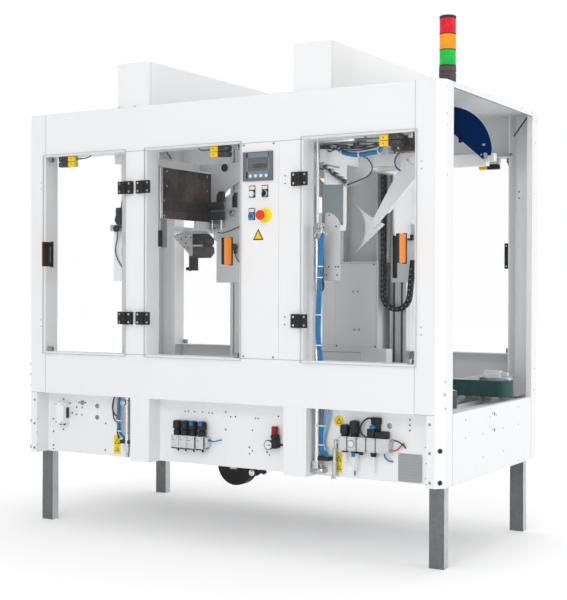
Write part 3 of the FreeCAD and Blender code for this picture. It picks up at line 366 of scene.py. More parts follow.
SCREEN_GLASS = screen_paint()
GUARD = guard_paint()
LAMINATE = laminate_paint()
# The third value of each lens is its painted glow, emission that brightens the colour.
LENSES = {"green": lens_paint("green_lens", (0.01, 0.52, 0.06), 0.16),
    "amber": lens_paint("amber_lens", (0.90, 0.33, 0.01), 0.22),
    "red": lens_paint("red_lens", (0.72, 0.01, 0.03), 0.18)}


def dress(paint, *names):
    """Gives CAD nodes a finish in place of their plain one."""
    for name in names:
        slots = nodes[name].data.materials
        slots.clear()
        slots.append(paint.material)


DOORS = [f"{side}_{part}" for side in ("front", "rear") for part in ("left", "middle", "right")]
dress(WHITE, "front_top_beam", "rear_top_beam", "front_lower_beam", "rear_lower_beam",
    "front_mid_post", "rear_mid_post", "control_column", "rear_column", "front_bay_panel",
    "rear_bay_panel", "end_aprons", "roof", "electrical_boxes",
    *[f"corner_post_{side}_{end}" for side in ("front", "rear") for end in ("left", "right")])
dress(WHITE_HOOD, "left_hood", "right_hood")
dress(LEG_ZINC, "legs")
dress(ZINC, "conveyor_frame", "bottom_tape_unit", "press_unit")
dress(ALUMINIUM, "guide_columns")
dress(ROLLER, "rollers")
dress(belt_paint(), "side_belts")
dress(GREY_PAINT, "side_drives", "left_head_plates", "right_head_plates")
dress(PALE_PAINT, "left_head_frame", "right_head_frame", "tape_arm", "flap_kicker")
dress(LAMINATE, "folding_plate")
dress(tape_paint(), "tape_roll")
dress(STEEL, "lift_cylinders")
dress(SCREEN_CASE, "operator_screen")
dress(pane_paint(), *[door + "_pane" for door in DOORS])


# Shapes

def sealed(points, faces):
    """One point for each place, with faces that have lost their repeated corners left out."""
    key, _, back = np.unique(np.round(points, 5), axis=0, return_index=True, return_inverse=True)
    back = back.reshape(-1)
    kept = []
    for face in faces:
        ring = [int(back[i]) for i in face]
        ring = [a for a, b in zip(ring, ring[1:] + ring[:1]) if a != b]
        if len(set(ring)) > 2:
            kept.append(ring)
    return key, kept


def lofted(rings):
    """Closed solid through rings of equal count: quads between rings, both end rings filled."""
    rings = np.asarray(rings, float)
    rows, columns = rings.shape[:2]
    r = np.arange(rows - 1)[:, None] * columns
    c = np.arange(columns)[None, :]
    n = (c + 1) % columns
    faces = np.stack([r + c, r + n, r + columns + n, r + columns + c], -1).reshape(-1, 4).tolist()
    faces.append(list(range(columns))[::-1])
    faces.append(list(range((rows - 1) * columns, rows * columns)))
    return sealed(rings.reshape(-1, 3), faces)


def block(x0, x1, y0, y1, z0, z1, r=1.5, k=2):
    """Box with round edges: the normals of a sphere, each octant moved out to its own corner."""
    centre = np.array([x0 + x1, y0 + y1, z0 + z1], float) / 2
    half = np.abs(np.array([x1 - x0, y1 - y0, z1 - z0], float)) / 2
    r = min(r, half.min() * 0.98)
    arc = np.linspace(0.0, math.pi / 2, k + 1)
    turn = np.concatenate([arc + q * math.pi / 2 for q in range(4)])
    out = np.repeat(np.array([[1, 1], [-1, 1], [-1, -1], [1, -1]], float), k + 1, axis=0)
    rise = np.concatenate([arc - math.pi / 2, arc])[:, None]
    up = np.repeat([-1.0, 1.0], k + 1)[:, None]
    x = out[:, 0] * (half[0] - r) + r * np.cos(rise) * np.cos(turn)
    y = out[:, 1] * (half[1] - r) + r * np.cos(rise) * np.sin(turn)
    z = np.broadcast_to(up * (half[2] - r) + r * np.sin(rise), x.shape)
    return lofted(np.stack([x, y, z], -1) + centre)


def shrunk(points, by):
    """Outline moved inwards: each corner goes to where its two moved edges meet."""
    after = np.roll(points, -1, 0) - points
    normal = np.stack([-after[:, 1], after[:, 0]], 1)
    normal = normal / np.linalg.norm(normal, axis=1, keepdims=True)
    before = np.roll(normal, 1, 0)
    share = 1 + (normal * before).sum(1, keepdims=True)
    return points + by * (normal + before) / np.maximum(share, 0.3)


def plate(outline, axis, low, high, edge=0.6):
    """Plate over a flat outline, both rims chamfered by moving the outline inwards."""
    points = np.asarray(outline, float)
    x, y = points.T
    if (x * np.roll(y, -1) - y * np.roll(x, -1)).sum() < 0:
        points = points[::-1]
    edge = min(edge, (high - low) / 2.5)
    inner = shrunk(points, edge)
    levels = ((low, inner), (low + edge, points), (high - edge, points), (high, inner))
    return lofted([np.insert(p, "xyz".index(axis), h, axis=1) for h, p in levels])


def basis(out):
    """Three directions as rows, the last one along out."""
    w = np.asarray(out, float)
    w = w / np.linalg.norm(w)
    u = np.cross([0.0, 0.0, 1.0] if abs(w[2]) < 0.9 else [0.0, 1.0, 0.0], w)
    u = u / np.linalg.norm(u)
    return np.stack([u, np.cross(w, u), w])


def turned(profile, start=(0, 0, 0), out=(0, 0, 1), count=20):
    """Solid of revolution: pairs of radius and height, turned round the line out from start."""
    profile = np.asarray(profile, float)
    angle = np.arange(count) * 2 * math.pi / count
    x = profile[:, :1] * np.cos(angle)
    y = profile[:, :1] * np.sin(angle)
    z = np.broadcast_to(profile[:, 1:], x.shape)
    return lofted(np.stack([x, y, z], -1) @ basis(out) + np.asarray(start, float))


def rod(radius, start, end, count=16, edge=0.8):
    """Round bar between two points with chamfered ends."""
    start = np.asarray(start, float)
    line = np.asarray(end, float) - start
    size = float(np.linalg.norm(line))
    edge = min(edge, radius * 0.5, size * 0.4)
    return turned([(radius - edge, 0), (radius, edge), (radius, size - edge),
        (radius - edge, size)], start, line, count)


def eased(points, per=8):
    """Smooth run of points: the cubic that passes each point parallel to its neighbours."""
    p = np.asarray(points, float)
    p = np.concatenate([[2 * p[0] - p[1]], p, [2 * p[-1] - p[-2]]])
    t = (np.arange(per) / per)[None, :, None]
    a, b, c, d = (p[i:len(p) - 3 + i][:, None, :] for i in range(4))
    run = 0.5 * (2 * b + (c - a) * t + (2 * a - 5 * b + 4 * c - d) * t ** 2
        + (3 * b - a - 3 * c + d) * t ** 3)
    return np.concatenate([run.reshape(-1, 3), p[-2:-1]])


def piped(radius, *points):
    """Tube along a smooth run: a ring of eight points stands across the line at each point."""
    line = eased(points)
    ahead = np.gradient(line, axis=0)
    ahead = ahead / np.linalg.norm(ahead, axis=1, keepdims=True)
    across = np.cross(ahead, np.array([0.0, 1.0, 0.0]))
    across = across / np.maximum(np.linalg.norm(across, axis=1, keepdims=True), 1e-6)
    other = np.cross(ahead, across)
    angle = np.arange(8) * 2 * math.pi / 8
    wide = np.broadcast_to(np.asarray(radius, float), (len(line),))[:, None, None]
    ring = (across[:, None] * np.cos(angle)[:, None] + other[:, None] * np.sin(angle)[:, None])
    return lofted(line[:, None] + wide * ring)


def bundle(radius, offsets, *points):
    """Tubes that run side by side: one path moved by each offset."""
    line = np.asarray(points, float)
    return [piped(radius, *(line + np.asarray(d, float))) for d in offsets]


def fluted(x, y, rows, waves, count):
    """Rings of radius, height and depth of flute round an upright line, joined into a solid."""
    angle = np.arange(count) * 2 * math.pi / count
    rings = []
    for radius, height, depth in rows:
        r = radius + depth * np.cos(angle * waves)
        rings.append(np.stack([x + r * np.cos(angle), y + r * np.sin(angle),
            np.full_like(angle, height)], 1))
    return lofted(rings)


def joined(shapes):
    """Several solids as one list of points and one of faces."""
    steps = np.cumsum([0] + [len(points) for points, _ in shapes])
    faces = [[i + int(n) for i in face] for n, (_, ring) in zip(steps, shapes) for face in ring]
    return np.concatenate([points for points, _ in shapes]), faces


def moved(shape, by, rows=np.eye(3)):
    """A shape turned by rows of directions and then shifted."""
    return shape[0] @ rows + by, shape[1]


def at_places(shape, places, out=OUT):
    """Copies of a shape made round the origin, turned to face out, one at each place."""
    points, faces = shape
    made = (np.asarray(places, float)[:, None] + points @ basis(out)).reshape(-1, 3)
    step = len(points)
    return made, [[i + n * step for i in face] for n in range(len(places)) for face in faces]


def mirrored(shapes, axis=1):
    """Shapes on the other side of the machine's middle plane."""
    sign = np.ones(3)
    sign[axis] = -1
    return [(points * sign, faces) for points, faces in shapes]


def both(shapes, axis=1):
    """Shapes and their mirror images."""
    return shapes + mirrored(shapes, axis)


def put(name, shapes, paint, body="enclosure", replaces=(), angle=35.0):
    """One piece from several closed solids, in metres, its faces outwards, on a body."""
    points, faces = joined(shapes)
    me = bpy.data.meshes.new(name)
    me.from_pydata((points * 0.001).tolist(), [], faces)
    work = bmesh.new()
    work.from_mesh(me)
    bmesh.ops.recalc_face_normals(work, faces=work.faces)
    work.to_mesh(me)
    work.free()
    me.shade_smooth()
    me.set_sharp_from_angle(angle=math.radians(angle))
    me.materials.append(paint.material)
    piece = bpy.data.objects.new(name, me)
    bpy.context.scene.collection.objects.link(piece)
    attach(piece, body)
    if replaces:
        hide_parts(*replaces)
    return piece


def screws(r, h, places, out=OUT):
    """Round heads, each with a hollow socket in its top."""
    return at_places(turned([(0, h * 0.45), (r * 0.42, h * 0.45), (r * 0.46, h * 0.95),
        (r * 0.62, h), (r * 0.92, h * 0.8), (r, h * 0.35), (r, 0)], count=12), places, out)


def bolts(r, h, places, out=OUT):
    """Six-sided heads, each on a round washer."""
    washer = turned([(r * 1.25, 0), (r * 1.25, h * 0.18), (r * 1.1, h * 0.26)], count=16)
    head = turned([(r, h * 0.2), (r, h * 0.86), (r * 0.88, h)], count=6)
    return at_places(joined([washer, head]), places, out)


def holes(r, places, out=OUT):
    """Dark flat discs that read as drilled holes."""
    return at_places(turned([(r, 0), (r, 0.12), (r * 0.9, 0.25)], count=12), places, out)


def grommets(r, h, places, out=OUT):
    """Rings with a sunk middle."""
    return at_places(turned([(0, h * 0.3), (r * 0.5, h * 0.3), (r * 0.62, h), (r * 0.9, h * 0.8),
        (r, 0)], count=18), places, out)


def fitting(x, y, z, r=5.0, length=14.0, out=(0, 0, -1)):
    """Push-in fitting: six-sided body, collar and release ring."""
    body = turned([(r, 0), (r, length * 0.5), (r * 0.85, length * 0.56)], (x, y, z), out, 6)
    ring = turned([(r * 0.8, length * 0.5), (r * 0.86, length * 0.9), (r * 0.62, length)],
        (x, y, z), out, 14)
    return joined([body, ring])


def tie(x, y, z, wide=12.0, deep=9.0):
    """Cable tie round a bundle: an oval band with its small lock."""
    angle = np.arange(20) * 2 * math.pi / 20
    rings = [np.stack([x + wide * s * np.cos(angle), y + deep * s * np.sin(angle),
        np.full_like(angle, z + h)], 1)
        for s, h in ((0.8, -2.2), (1.0, -2.2), (1.04, 0), (1.0, 2.2), (0.8, 2.2))]
    return joined([lofted(rings), block(x + wide * 0.5, x + wide * 0.5 + 5, y - deep - 2,
        y - deep + 3, z - 3, z + 3, 0.8, 1)])


# Doors: handles, hinges, catches and switches

PANE_FRONT, PANE_BACK = FRONT - 10, FRONT - 5
PIN_Y = PANE_FRONT - 7
HINGE_LEVELS = (937, 1501)
HANDLE = 1218
OPENINGS = {"front_left": (-462, -915), "front_middle": (-344, 131), "front_right": (430, 915),
    "rear_left": (-462, -915), "rear_middle": (-344, 60), "rear_right": (430, 915)}


def openings():
    """Each door's name, hinged edge, free edge, and the way from the free to the hinged one."""
    for name, (hinged, free) in OPENINGS.items():
        yield name, hinged, free, 1 if hinged > free else -1


def placed(name, shapes):
    """Shapes as they stand for a front door, and behind the machine for a rear one."""
    return mirrored(shapes) if name.startswith("rear") else shapes


def knuckle(x, low, high):
    """Hinge barrel length with rounded rims."""
    return turned([(5.8, 0), (7, 1.2), (7, high - low - 1.2), (5.8, high - low)],
        (x, PIN_Y, low), count=16)


def leaf(pin, way, level, back, thick):
    """Leaf plate beside the pin with a raised rib towards the knuckles."""
    low, high = level - 27.5, level + 27.5
    return [block(pin + way * 8, pin + way * 38, back - thick, back, low, high, 2.5),
        block(pin + way * 8, pin + way * 13, back - thick - 1.2, back - thick + 1, low + 1,
            high - 1, 0.9, 1)]


def web(pin, way, low, high):
    """Part of a leaf that reaches round to the pin."""
    return block(pin + way, pin + way * 13, PIN_Y, PANE_FRONT, low, high, 1, 1)


def leaf_screws(pin, way, level, face):
    """Two screw heads, one above the other, in the middle of a leaf."""
    return screws(4.6, 1.8, [(pin + way * 25, face - 0.3, level + d) for d in (-17, 17)])


def dress_door(name, hinged, free, side):
    """Handle, hinge leaves and screws of one door."""
    body = name + "_door"
    pin, middle, z = hinged + side * 10, free + side * 40, HANDLE
    black = [block(middle + side * 9, middle - side * 6, -600, -594, z - 55, z + 55, 2.2),
        block(middle + side * 8.8, middle - side * 1.2, -597, -562, z - 54.8, z + 54.8, 2.2)]
    for foot in (z - 46, z + 46):
        black += [block(middle - 8.5, middle + 8.5, -596, -556, foot - 8.5, foot + 8.5, 4, 3),
            block(middle - 8.8, middle + 8.8, -568, PANE_FRONT, foot - 9, foot + 9, 4, 3)]
    black.append(block(middle - 9, middle + 9, PANE_BACK, PANE_BACK + 4, z - 58, z + 58))
    heads = [screws(3.8, 1.6, [(middle, PANE_BACK + 4, z + d) for d in (-46, 46)], (0, 1, 0))]
    for level in HINGE_LEVELS:
        black += leaf(pin, -side, level, PANE_FRONT, 7)
        black += [knuckle(pin, level - 9, level + 9), web(pin, -side, level - 8.9, level + 8.9)]
        heads.append(leaf_screws(pin, -side, level, PANE_FRONT - 7))
    cover = block(middle - side * 1.4, middle - side * 9.8, -599, -551, z - 54.6, z + 54.6, 2.4, 3)
    front, back = PANE_FRONT - 0.3, PANE_BACK + 0.3
    ends = sorted((hinged + side * 8, free - side * 10))
    rim = [block(*ends, front, back, h - 1.1, h + 1.1, 0.5, 1) for h in (771, 1667)]
    rim += [block(x - 1.2, x + 1.2, front, back, 770, 1668, 0.5, 1)
        for x in (ends[0] + 1, ends[1] - 1)]
    put(body + "_spine", placed(name, black), BLACK, body,
        (name + "_hardware",))
    put(body + "_grip", placed(name, [cover]), ORANGE, body)
    put(body + "_pane_edge", placed(name, rim), PANE_EDGE, body)
    put(body + "_screws", placed(name, heads), NICKEL, body)


def dress_frame_side_of_doors():
    """Hinge leaves on the posts, roller catches, and two-part switches with their leads."""
    parts = {key: [] for key in ("leaves", "screws", "catches", "rollers", "tongues", "bodies",
        "plates", "glands", "leads", "rivets")}
    for name, hinged, free, side in openings():
        here = {key: [] for key in parts}
        pin, catch, switch = hinged + side * 10, free + side * 22, free + side * 110
        for level in HINGE_LEVELS:
            here["leaves"] += leaf(pin, side, level, FRONT, 17)
            for low, high in ((level - 27.5, level - 9.6), (level + 9.6, level + 27.5)):
                here["leaves"] += [knuckle(pin, low, high), web(pin, side, low + 0.2, high - 0.2)]
            here["leaves"].append(rod(3, (pin, PIN_Y, level - 28.3), (pin, PIN_Y, level + 28.3),
                12))
            here["screws"].append(leaf_screws(pin, side, level, FRONT - 17))
        for z, drop in ((791, 3), (1647, -3)):
            x, low = catch, z + drop
            here["catches"] += [block(x - 10, x + 10, -534.5, -516, z - 10.5, z + 10.5, 2),
                rod(4.5, (x - side * 16, -521, z), (x + side * 10, -521, z), 12),
                bolts(4.2, 3.2, [(x, -516, z)], (0, 1, 0))]
            here["rollers"].append(rod(7.5, (x - 6, -526, low), (x + 6, -526, low)))

        def at(distance):
            return switch + side * distance

        halves = ((1611, 1632.5), (1634.5, 1657))
        if name.startswith("rear"):
            here["plates"].append(block(at(-47), at(47), -527, -495, 1634.5, 1657))
            halves = halves[:1]
        for low, high in halves:
            middle = (low + high) / 2
            here["tongues"] += [block(at(-46), at(8), -525, -497, low, high, 2.5),
                block(at(-48), at(-40), -520, -503, low + 4, high - 4, 2),
                holes(2.6, [(at(30), -525.6, middle)])]
            here["bodies"].append(block(at(9), at(47), -525.5, -496.5, low, high, 2.5))
            here["rivets"].append(screws(2.4, 1.2, [(at(-32), -525, middle)]))
        here["glands"].append(turned([(5.5, 0), (5.5, 6), (4, 10), (3.6, 34), (2.6, 36)],
            (at(47), -511, 1645), (side, 0, 0), 12))
        here["leads"].append(piped(2.4, (at(82), -511, 1645), (at(100), -509, 1646),
            (at(116), -503, 1652), (at(124), -496, 1661)))
        for key, shapes in here.items():
            parts[key] += placed(name, shapes)
    for key, piece, paint, finish, node in (
            ("leaves", "post_hinge_leaves", BLACK, "black_plastic", "post_hinges"),
            ("screws", "post_hinge_screws", CHROME, "bright_steel", None),
            ("catches", "catch_blocks", BOLT, "bright_steel", "door_catches"),
            ("rollers", "catch_rollers", DARK, None, None),
            ("tongues", "switch_tongues", DARK, "switch_plastic", "door_switches"),
            ("bodies", "switch_bodies", YELLOW, None, None),
            ("plates", "switch_plates", ZINC, None, None),
            ("glands", "switch_glands", GREEN_LEAD, None, None),
            ("leads", "switch_leads", BLACK, None, None),
            ("rivets", "switch_screws", BOLT, "bright_steel", None)):
        put(piece, parts[key], paint, replaces=(node,) if node else ())


# Operator panel and signal tower

def framed(x0, x1, z0, z1, border, y0, y1, r, k=2):
    """Four strips round an opening: the lower, the upper, the left and the right one."""
    return [block(x0, x1, y0, y1, z0, z0 + border, r, k),
        block(x0, x1, y0, y1, z1 - border, z1, r, k),
        block(x0, x0 + border, y0, y1, z0, z1, r, k), block(x1 - border, x1, y0, y1, z0, z1, r, k)]


def dress_panel():
    """Display with four keys, buttons with legends, stop button, bare sign and panel screws."""
    face = FRONT - 9
    put("display_glass", [block(176.5, 271.5, face + 0.6, face + 2.5, 1541.5, 1593.5, 0.8)],
        SCREEN_GLASS)
    put("display_front", [block(x0, x1, face - 0.8, face + 1.9, z0, z1, 1.2) for x0, x1, z0, z1 in
        ((168, 277, 1511, 1541), (168, 277, 1594.5, 1615), (168, 176, 1511, 1615),
        (272, 278.5, 1511, 1615))], PANEL_BLUE)
    put("display_keys", [at_places(turned([(0, 2.2), (5.2, 2.2), (6.4, 1.4), (6.8, 0)]),
        [(188.5 + i * 25, face - 0.8, 1522) for i in range(4)])], WHITE_KEY)
    squares, legends, rings = [], [], []
    for x, z in ((192, 1450), (253, 1450), (191, 1359)):
        squares += [block(x - 15, x + 15, FRONT - 4, FRONT, z - 15, z + 15, 2.5, 3),
            block(x - 15, x + 15, FRONT - 3, FRONT, z + 13, z + 34)]
        legends.append(block(x - 12.5, x + 12.5, FRONT - 3.8, FRONT - 1, z + 17, z + 31, 0.8, 1))
        rings.append(turned([(9, 0), (13, 0.4), (14, 3), (13, 6.5), (11.4, 7.2), (9, 7)],
            (x, FRONT - 3.4, z), OUT, 28))
    put("button_squares", squares, BLACK, replaces=("push_buttons",))
    put("button_legends", legends, WHITE_KEY)
    put("button_rings", rings, GREY_CASE)
    for name, x, z, paint in (("white", 192, 1450, WHITE_KEY), ("blue", 191, 1359, BLUE_CAP)):
        put("button_" + name, [turned([(12.2, 2), (12.2, 12.6), (11, 15), (7, 16.2), (0, 16)],
            (x, FRONT, z), OUT, 28)], paint)
    knob = plate([(-3.4, -12), (3.4, -12), (2.6, 12), (-2.6, 12)], "y", -24, -8, 1.2)
    put("selector_knob", [turned([(11.5, 2), (11.5, 8), (10, 10.5)], (253, FRONT, 1450), OUT, 28),
        moved(knob, (253, FRONT, 1450))], BLACK)
    put("selector_mark", [block(252.4, 253.6, FRONT - 24.4, FRONT - 23.4, 1451, 1461, 0.3, 1)],
        WHITE_KEY)
    stop = (254, FRONT, 1361)
    put("stop_ring", [turned([(30, 0), (30, 2.8), (28.6, 4), (16, 4.4)], stop, OUT, 40)], LEMON)
    put("stop_collar", [turned([(15, 3), (15, 18), (13, 20), (12, 30)], stop, OUT, 28)], LEMON)
    put("stop_head", [turned([(11.5, 24), (14.5, 27), (18.6, 33), (20, 37), (20, 42),
        (18.4, 45.6), (12, 47.4), (0, 48)], stop, OUT, 40)], RED,
        replaces=("emergency_stop",))
    put("sign_rim", [plate([(195.5, 1262.5), (246.5, 1262.5), (221, 1308.5)], "y", FRONT - 0.7,
        FRONT, 0.2)], BLACK)
    put("sign_field", [plate([(203, 1267), (239, 1267), (221, 1299.4)], "y", FRONT - 0.95,
        FRONT - 0.4, 0.15)], YELLOW)
    put("panel_screws", [screws(4.5, 2.6, [(x, FRONT, z) for x in (151, 293)
        for z in (789, 1650)])], BOLT)


def dress_tower():
    """Stacked signal light on its foot: ribbed lenses with collars, dark cap on top."""
    x, y, z = place = (990, -408, ROOF)
    base = [turned([(33, 0), (33, 4), (31.4, 5), (31.4, 24), (33, 26), (33, 36), (30.2, 38.5),
        (30.2, 42), (33, 44), (33, 62), (31, 65)], place, count=40),
        block(x - 34.5, x - 30, y - 5, y + 5, z + 26, z + 44),
        block(x + 30, x + 32.9, y - 5, y + 5, z + 6, z + 24, 1)]
    for number, name in enumerate(LENSES):
        low = z + 66 + 60 * number
        base.append(turned([(30.5, 0), (31.8, 0.6), (31.8, 2.2), (30.5, 3)], (x, y, low - 0.4),
            count=40))
        rows = [(r, low + 2.4 + h, depth) for r, h, depth in ((29, 0, 0), (31.9, 1.2, 0),
            (31.9, 5.4, 0), (30.6, 6.6, 0.45), (30.6, 52, 0.45), (31, 53.4, 0), (31, 56.4, 0),
            (29, 57.4, 0))]
        put("tower_lens_" + name, [fluted(x, y, rows, 30, 120)], LENSES[name],
            angle=60)
    put("tower_base", base, BROWN_CASE, replaces=("signal_tower",))
    put("tower_cap", [turned([(31, 244.6), (32, 246), (32, 255.5), (29, 257.6), (0, 258)], place,
        count=40)], DARK)
    put("tower_foot", [plate([(x - 34, y - 30), (x + 33, y - 30), (x + 33, y + 30),
        (x - 34, y + 30)], "z", z, z + 3, 1), block(x + 14, x + 27, y - 33.5, y - 30, z + 4,
        z + 22, 1)], BROWN_CASE)


for opening in openings():
    dress_door(*opening)
dress_frame_side_of_doors()
dress_panel()
dress_tower()


# Lower bays

VALVE_Y = BAY - 22


def on_bay(places):
    """Places on the bay's face from their X and Z."""
    return [(x, BAY, z) for x, z in places]


def dress_bay_bolts():
    """Bolt heads, plugged rings and drilled holes on the bay panels, in front and behind."""
    heads = on_bay([(-835, 542), (-798, 526), (-783, 548), (-746, 549), (-764, 526), (-798, 493),
        (-766, 493), (-822, 498), (-629, 462), (-631, 343), (-935, 465), (-934, 408),
        (-934, 345), (-875, 559), (-875, 421), (14, 547), (14, 473), (862, 562), (862, 541),
        (862, 521), (132, 407), (218, 393)])
    drilled = on_bay([(-195, 539), (-177, 540), (-145, 540), (-104, 541), (-72, 539), (-54, 539),
        (39, 528), (63, 530), (161, 529), (175, 529), (272, 543), (146, 479), (146, 393),
        (132, 380), (230, 381), (-934, 328)])
    rings = on_bay([(-764, 548), (-678, 537), (-678, 486), (776, 534)])
    put("bay_bolts", both([bolts(3.8, 3, heads), grommets(11, 3, rings)]), BOLT)
    put("bay_holes", both([holes(3.4, drilled)]), BLACK)


def regulator(x, y, low, high, r, base=0.35):
    """Pressure regulator: necked body, ribbed hand wheel and a domed top."""
    tall = high - low
    body = turned([(r * 0.86, 0), (r * 0.9, tall * base), (r * 0.7, tall * (base + 0.03)),
        (r * 0.7, tall * (base + 0.1))], (x, y, low), count=24)
    rows = [(r * share, low + tall * height, r * depth) for share, height, depth in (
        (0.8, base + 0.08, 0), (1, base + 0.12, 0.03), (1, 0.88, 0.03), (0.9, 0.97, 0),
        (0.5, 1, 0))]
    return [body, fluted(x, y, rows, 18, 72)]


def dress_valve_bank():
    """Four regulators on a joined manifold, and the gauge unit at the far end of the bay."""
    y = VALVE_Y
    black, pale, seams, blue, bright = [], [], [], [], []
    for i, x in enumerate((-219.5, -179, -138, -92)):
        black += regulator(x, y, 438, 503, 18.5)
        black += [fitting(x + 12, y - 10, 388, 4, 15), block(x - 18, x + 6, y - 21, BAY, 383, 388)]
        pale.append(block(x - 20, x + 19.4, y - 20, BAY, 387, 440, 2))
        seams += [block(x + 19.2, x + 21.2, y - 18.5, BAY, 388.5, 438, 0.6, 1),
            block(x - 15, x - 3, y - 20.6, y - 19.6, 421, 423, 0.4, 1)]
        bright += [fitting(x, y - 4, 388, 5.5, 12),
            screws(2.8, 1.4, [(x - 13, y - 20, 431), (x + 12, y - 20, 431)])]
        if i > 1:
            blue.append(block(x - 9, x + 9, y - 18.8, y - 12, 484, 501, 3, 3))
    pale.append(block(-72, -58, y - 12, BAY, 395, 437, 2))
    bright += [fitting(-72, y - 8, 397, 5, 14), rod(4.5, (242, y - 8, 427), (255, y - 8, 427), 12)]
    blue.append(fitting(-58, y - 2, 425, 5, 12, (1, 0, 0)))
    black += [block(258, 283, y - 14, BAY, 414, 455, 4, 3),
        turned([(13, 0), (18.5, 4), (19, 6), (19, 14), (16, 18)], (270, y, 452), count=28),
        fitting(289, y, 430, 5.5, 16, (1, 0, 0)),
        turned([(19.5, 0), (20, 3), (20, 12), (18.4, 14), (17.2, 12.4)], (242, y + 2, 427), OUT,
            32)]
    needle = plate([(-6, -1.3), (11, -0.4), (11, 0.4), (-6, 1.3)], "y", -0.6, 0, 0.2)
    put("gauge_face", [rod(17.2, (242, y + 2, 427), (242, y - 10.8, 427), 32, 0.3)], WHITE_KEY)
    put("gauge_needle", [moved(needle, (242, y - 11, 427))], BLACK)
    put("gauge_cap", [turned([(13, 0), (14, 2), (14, 32), (12, 35), (0, 35.6)], (268, y, 469),
        count=28)], DEEP_RED)
    put("bank_regulators", black, BLACK, replaces=("valve_bank",))
    put("bank_bodies", pale, PALE_CASE)
    put("bank_seams", seams, DARK)
    put("bank_marks", blue, BLUE_CAP)
    put("bank_fittings", bright, NICKEL)
    put("bank_tubes", [piped(2.6, (-46, y - 2, 425), (-30, y - 1, 421), (-14, y + 8, 427),
        (-6, BAY - 2, 428)), piped(2.6, (305, y, 430), (318, y + 2, 432), (328, y + 14, 440),
        (333, BAY - 2, 452))], BLUE_TUBE)


def dress_air_preparation():
    """Filter and regulator row with bowls, valves, connector, gauge and lead-in pipe."""
    y = VALVE_Y
    pale, bright = [], []
    for x0, x1 in ((573, 609), (612, 650), (653, 692), (695, 733), (736, 791)):
        pale.append(block(x0, x1, y - 22, BAY, 430, 486, 3))
        bright.append(screws(2.8, 1.4, [(x, y - 22, z) for x in (x0 + 5, x1 - 5)
            for z in (436, 480)]))
    black = regulator(591, y, 485, 531, 18.5, 0.1) + regulator(634, y, 485, 549, 19.5, 0.1)
    black += [block(694, 725, y - 14, y + 14, 486, 521, 3),
        block(728, 781, y - 15, y + 15, 486, 513, 3),
        block(703, 744, y + 2, y + 20, 536, 565, 4, 3),
        block(718, 740, y + 3, y + 19, 513, 540, 3)]

    def hung(profile, x, count=24, dy=0):
        return turned(profile, (x, y + dy, 430), (0, 0, -1), count)

    black += [hung([(9, 0), (9, 12), (7, 14)], 665, 20, -4),
        hung([(12, 0), (12, 14), (9.5, 18)], 718), hung([(13, 0), (13, 6), (10, 8)], 592),
        hung([(16, 0), (16, 8), (14, 10)], 636)]
    clear = [hung([(9.5, 6), (9.5, 34), (8.2, 46), (4.5, 50)], 592),
        hung([(14.5, 8), (14.5, 56), (12, 72), (7, 79)], 636, 28),
        hung([(8.5, 16), (8.5, 60), (7, 74), (3.5, 80)], 718)]
    blue = [rod(11, (591, y, 528), (591, y, 532.5), 20),
        rod(7, (634, y, 546), (634, y, 550.5), 20),
        block(703, 727, y - 12, y + 12, 520.5, 535, 3, 3),
        block(628, 643, y - 18, y - 10, 407, 424, 3),
        hung([(3.4, 78), (3.4, 92), (2.4, 98)], 636, 12)]
    bright += [turned([(14, 0), (14.5, 2), (14.5, 6), (13, 7.5), (12.2, 6.4)], (631, y - 21, 459),
        OUT, 28), block(545, 559, y - 9, y + 9, 431, 469, 4, 3),
        rod(7.5, (556, y, 459), (575, y, 459)), rod(8.6, (545.5, y, 435), (545.5, y, 326), 20),
        turned([(11.5, 0), (11.5, 14), (10, 15.5)], (541.5, y, 313), count=6)]
    bright += [fitting(791, y, z, 5, 14, (1, 0, 0)) for z in (481, 441)]
    put("prep_gauge", [rod(12, (631, y - 21, 459), (631, y - 28, 459), 28, 0.3)], WHITE_KEY)
    put("prep_wheels", black, BLACK, replaces=("air_preparation",))
    put("prep_bodies", pale, PALE_CASE)
    put("prep_seams", [block(x - 1.7, x + 1.7, y - 21, BAY, 431.5, 485, 0.6, 1)
        for x in (610.5, 651.5, 693.5, 734.5)], DARK)
    put("prep_marks", blue, BLUE_CAP)
    put("prep_bowls", clear, BOWL)
    put("prep_fittings", bright, NICKEL)
    put("prep_leads", [piped(3.4, (705, y + 10, 556), (694, y + 6, 561), (676, y, 550),
        (663, y - 6, 524), (670, y - 8, 499), (689, y - 6, 487)),
        piped(2.8, (805, y, 481), (822, y + 3, 477), (840, y + 10, 464), (846, BAY - 2, 452))],
        CABLE)
    put("prep_red_tube", [piped(2.8, (805, y, 441), (818, y + 2, 446), (832, y + 10, 462),
        (838, BAY - 2, 470))], RED_TUBE)
    put("prep_blue_tube", [piped(2.8, (763, y + 4, 430), (764, y + 4, 414), (776, y + 10, 400),
        (792, BAY - 2, 396))], BLUE_TUBE)


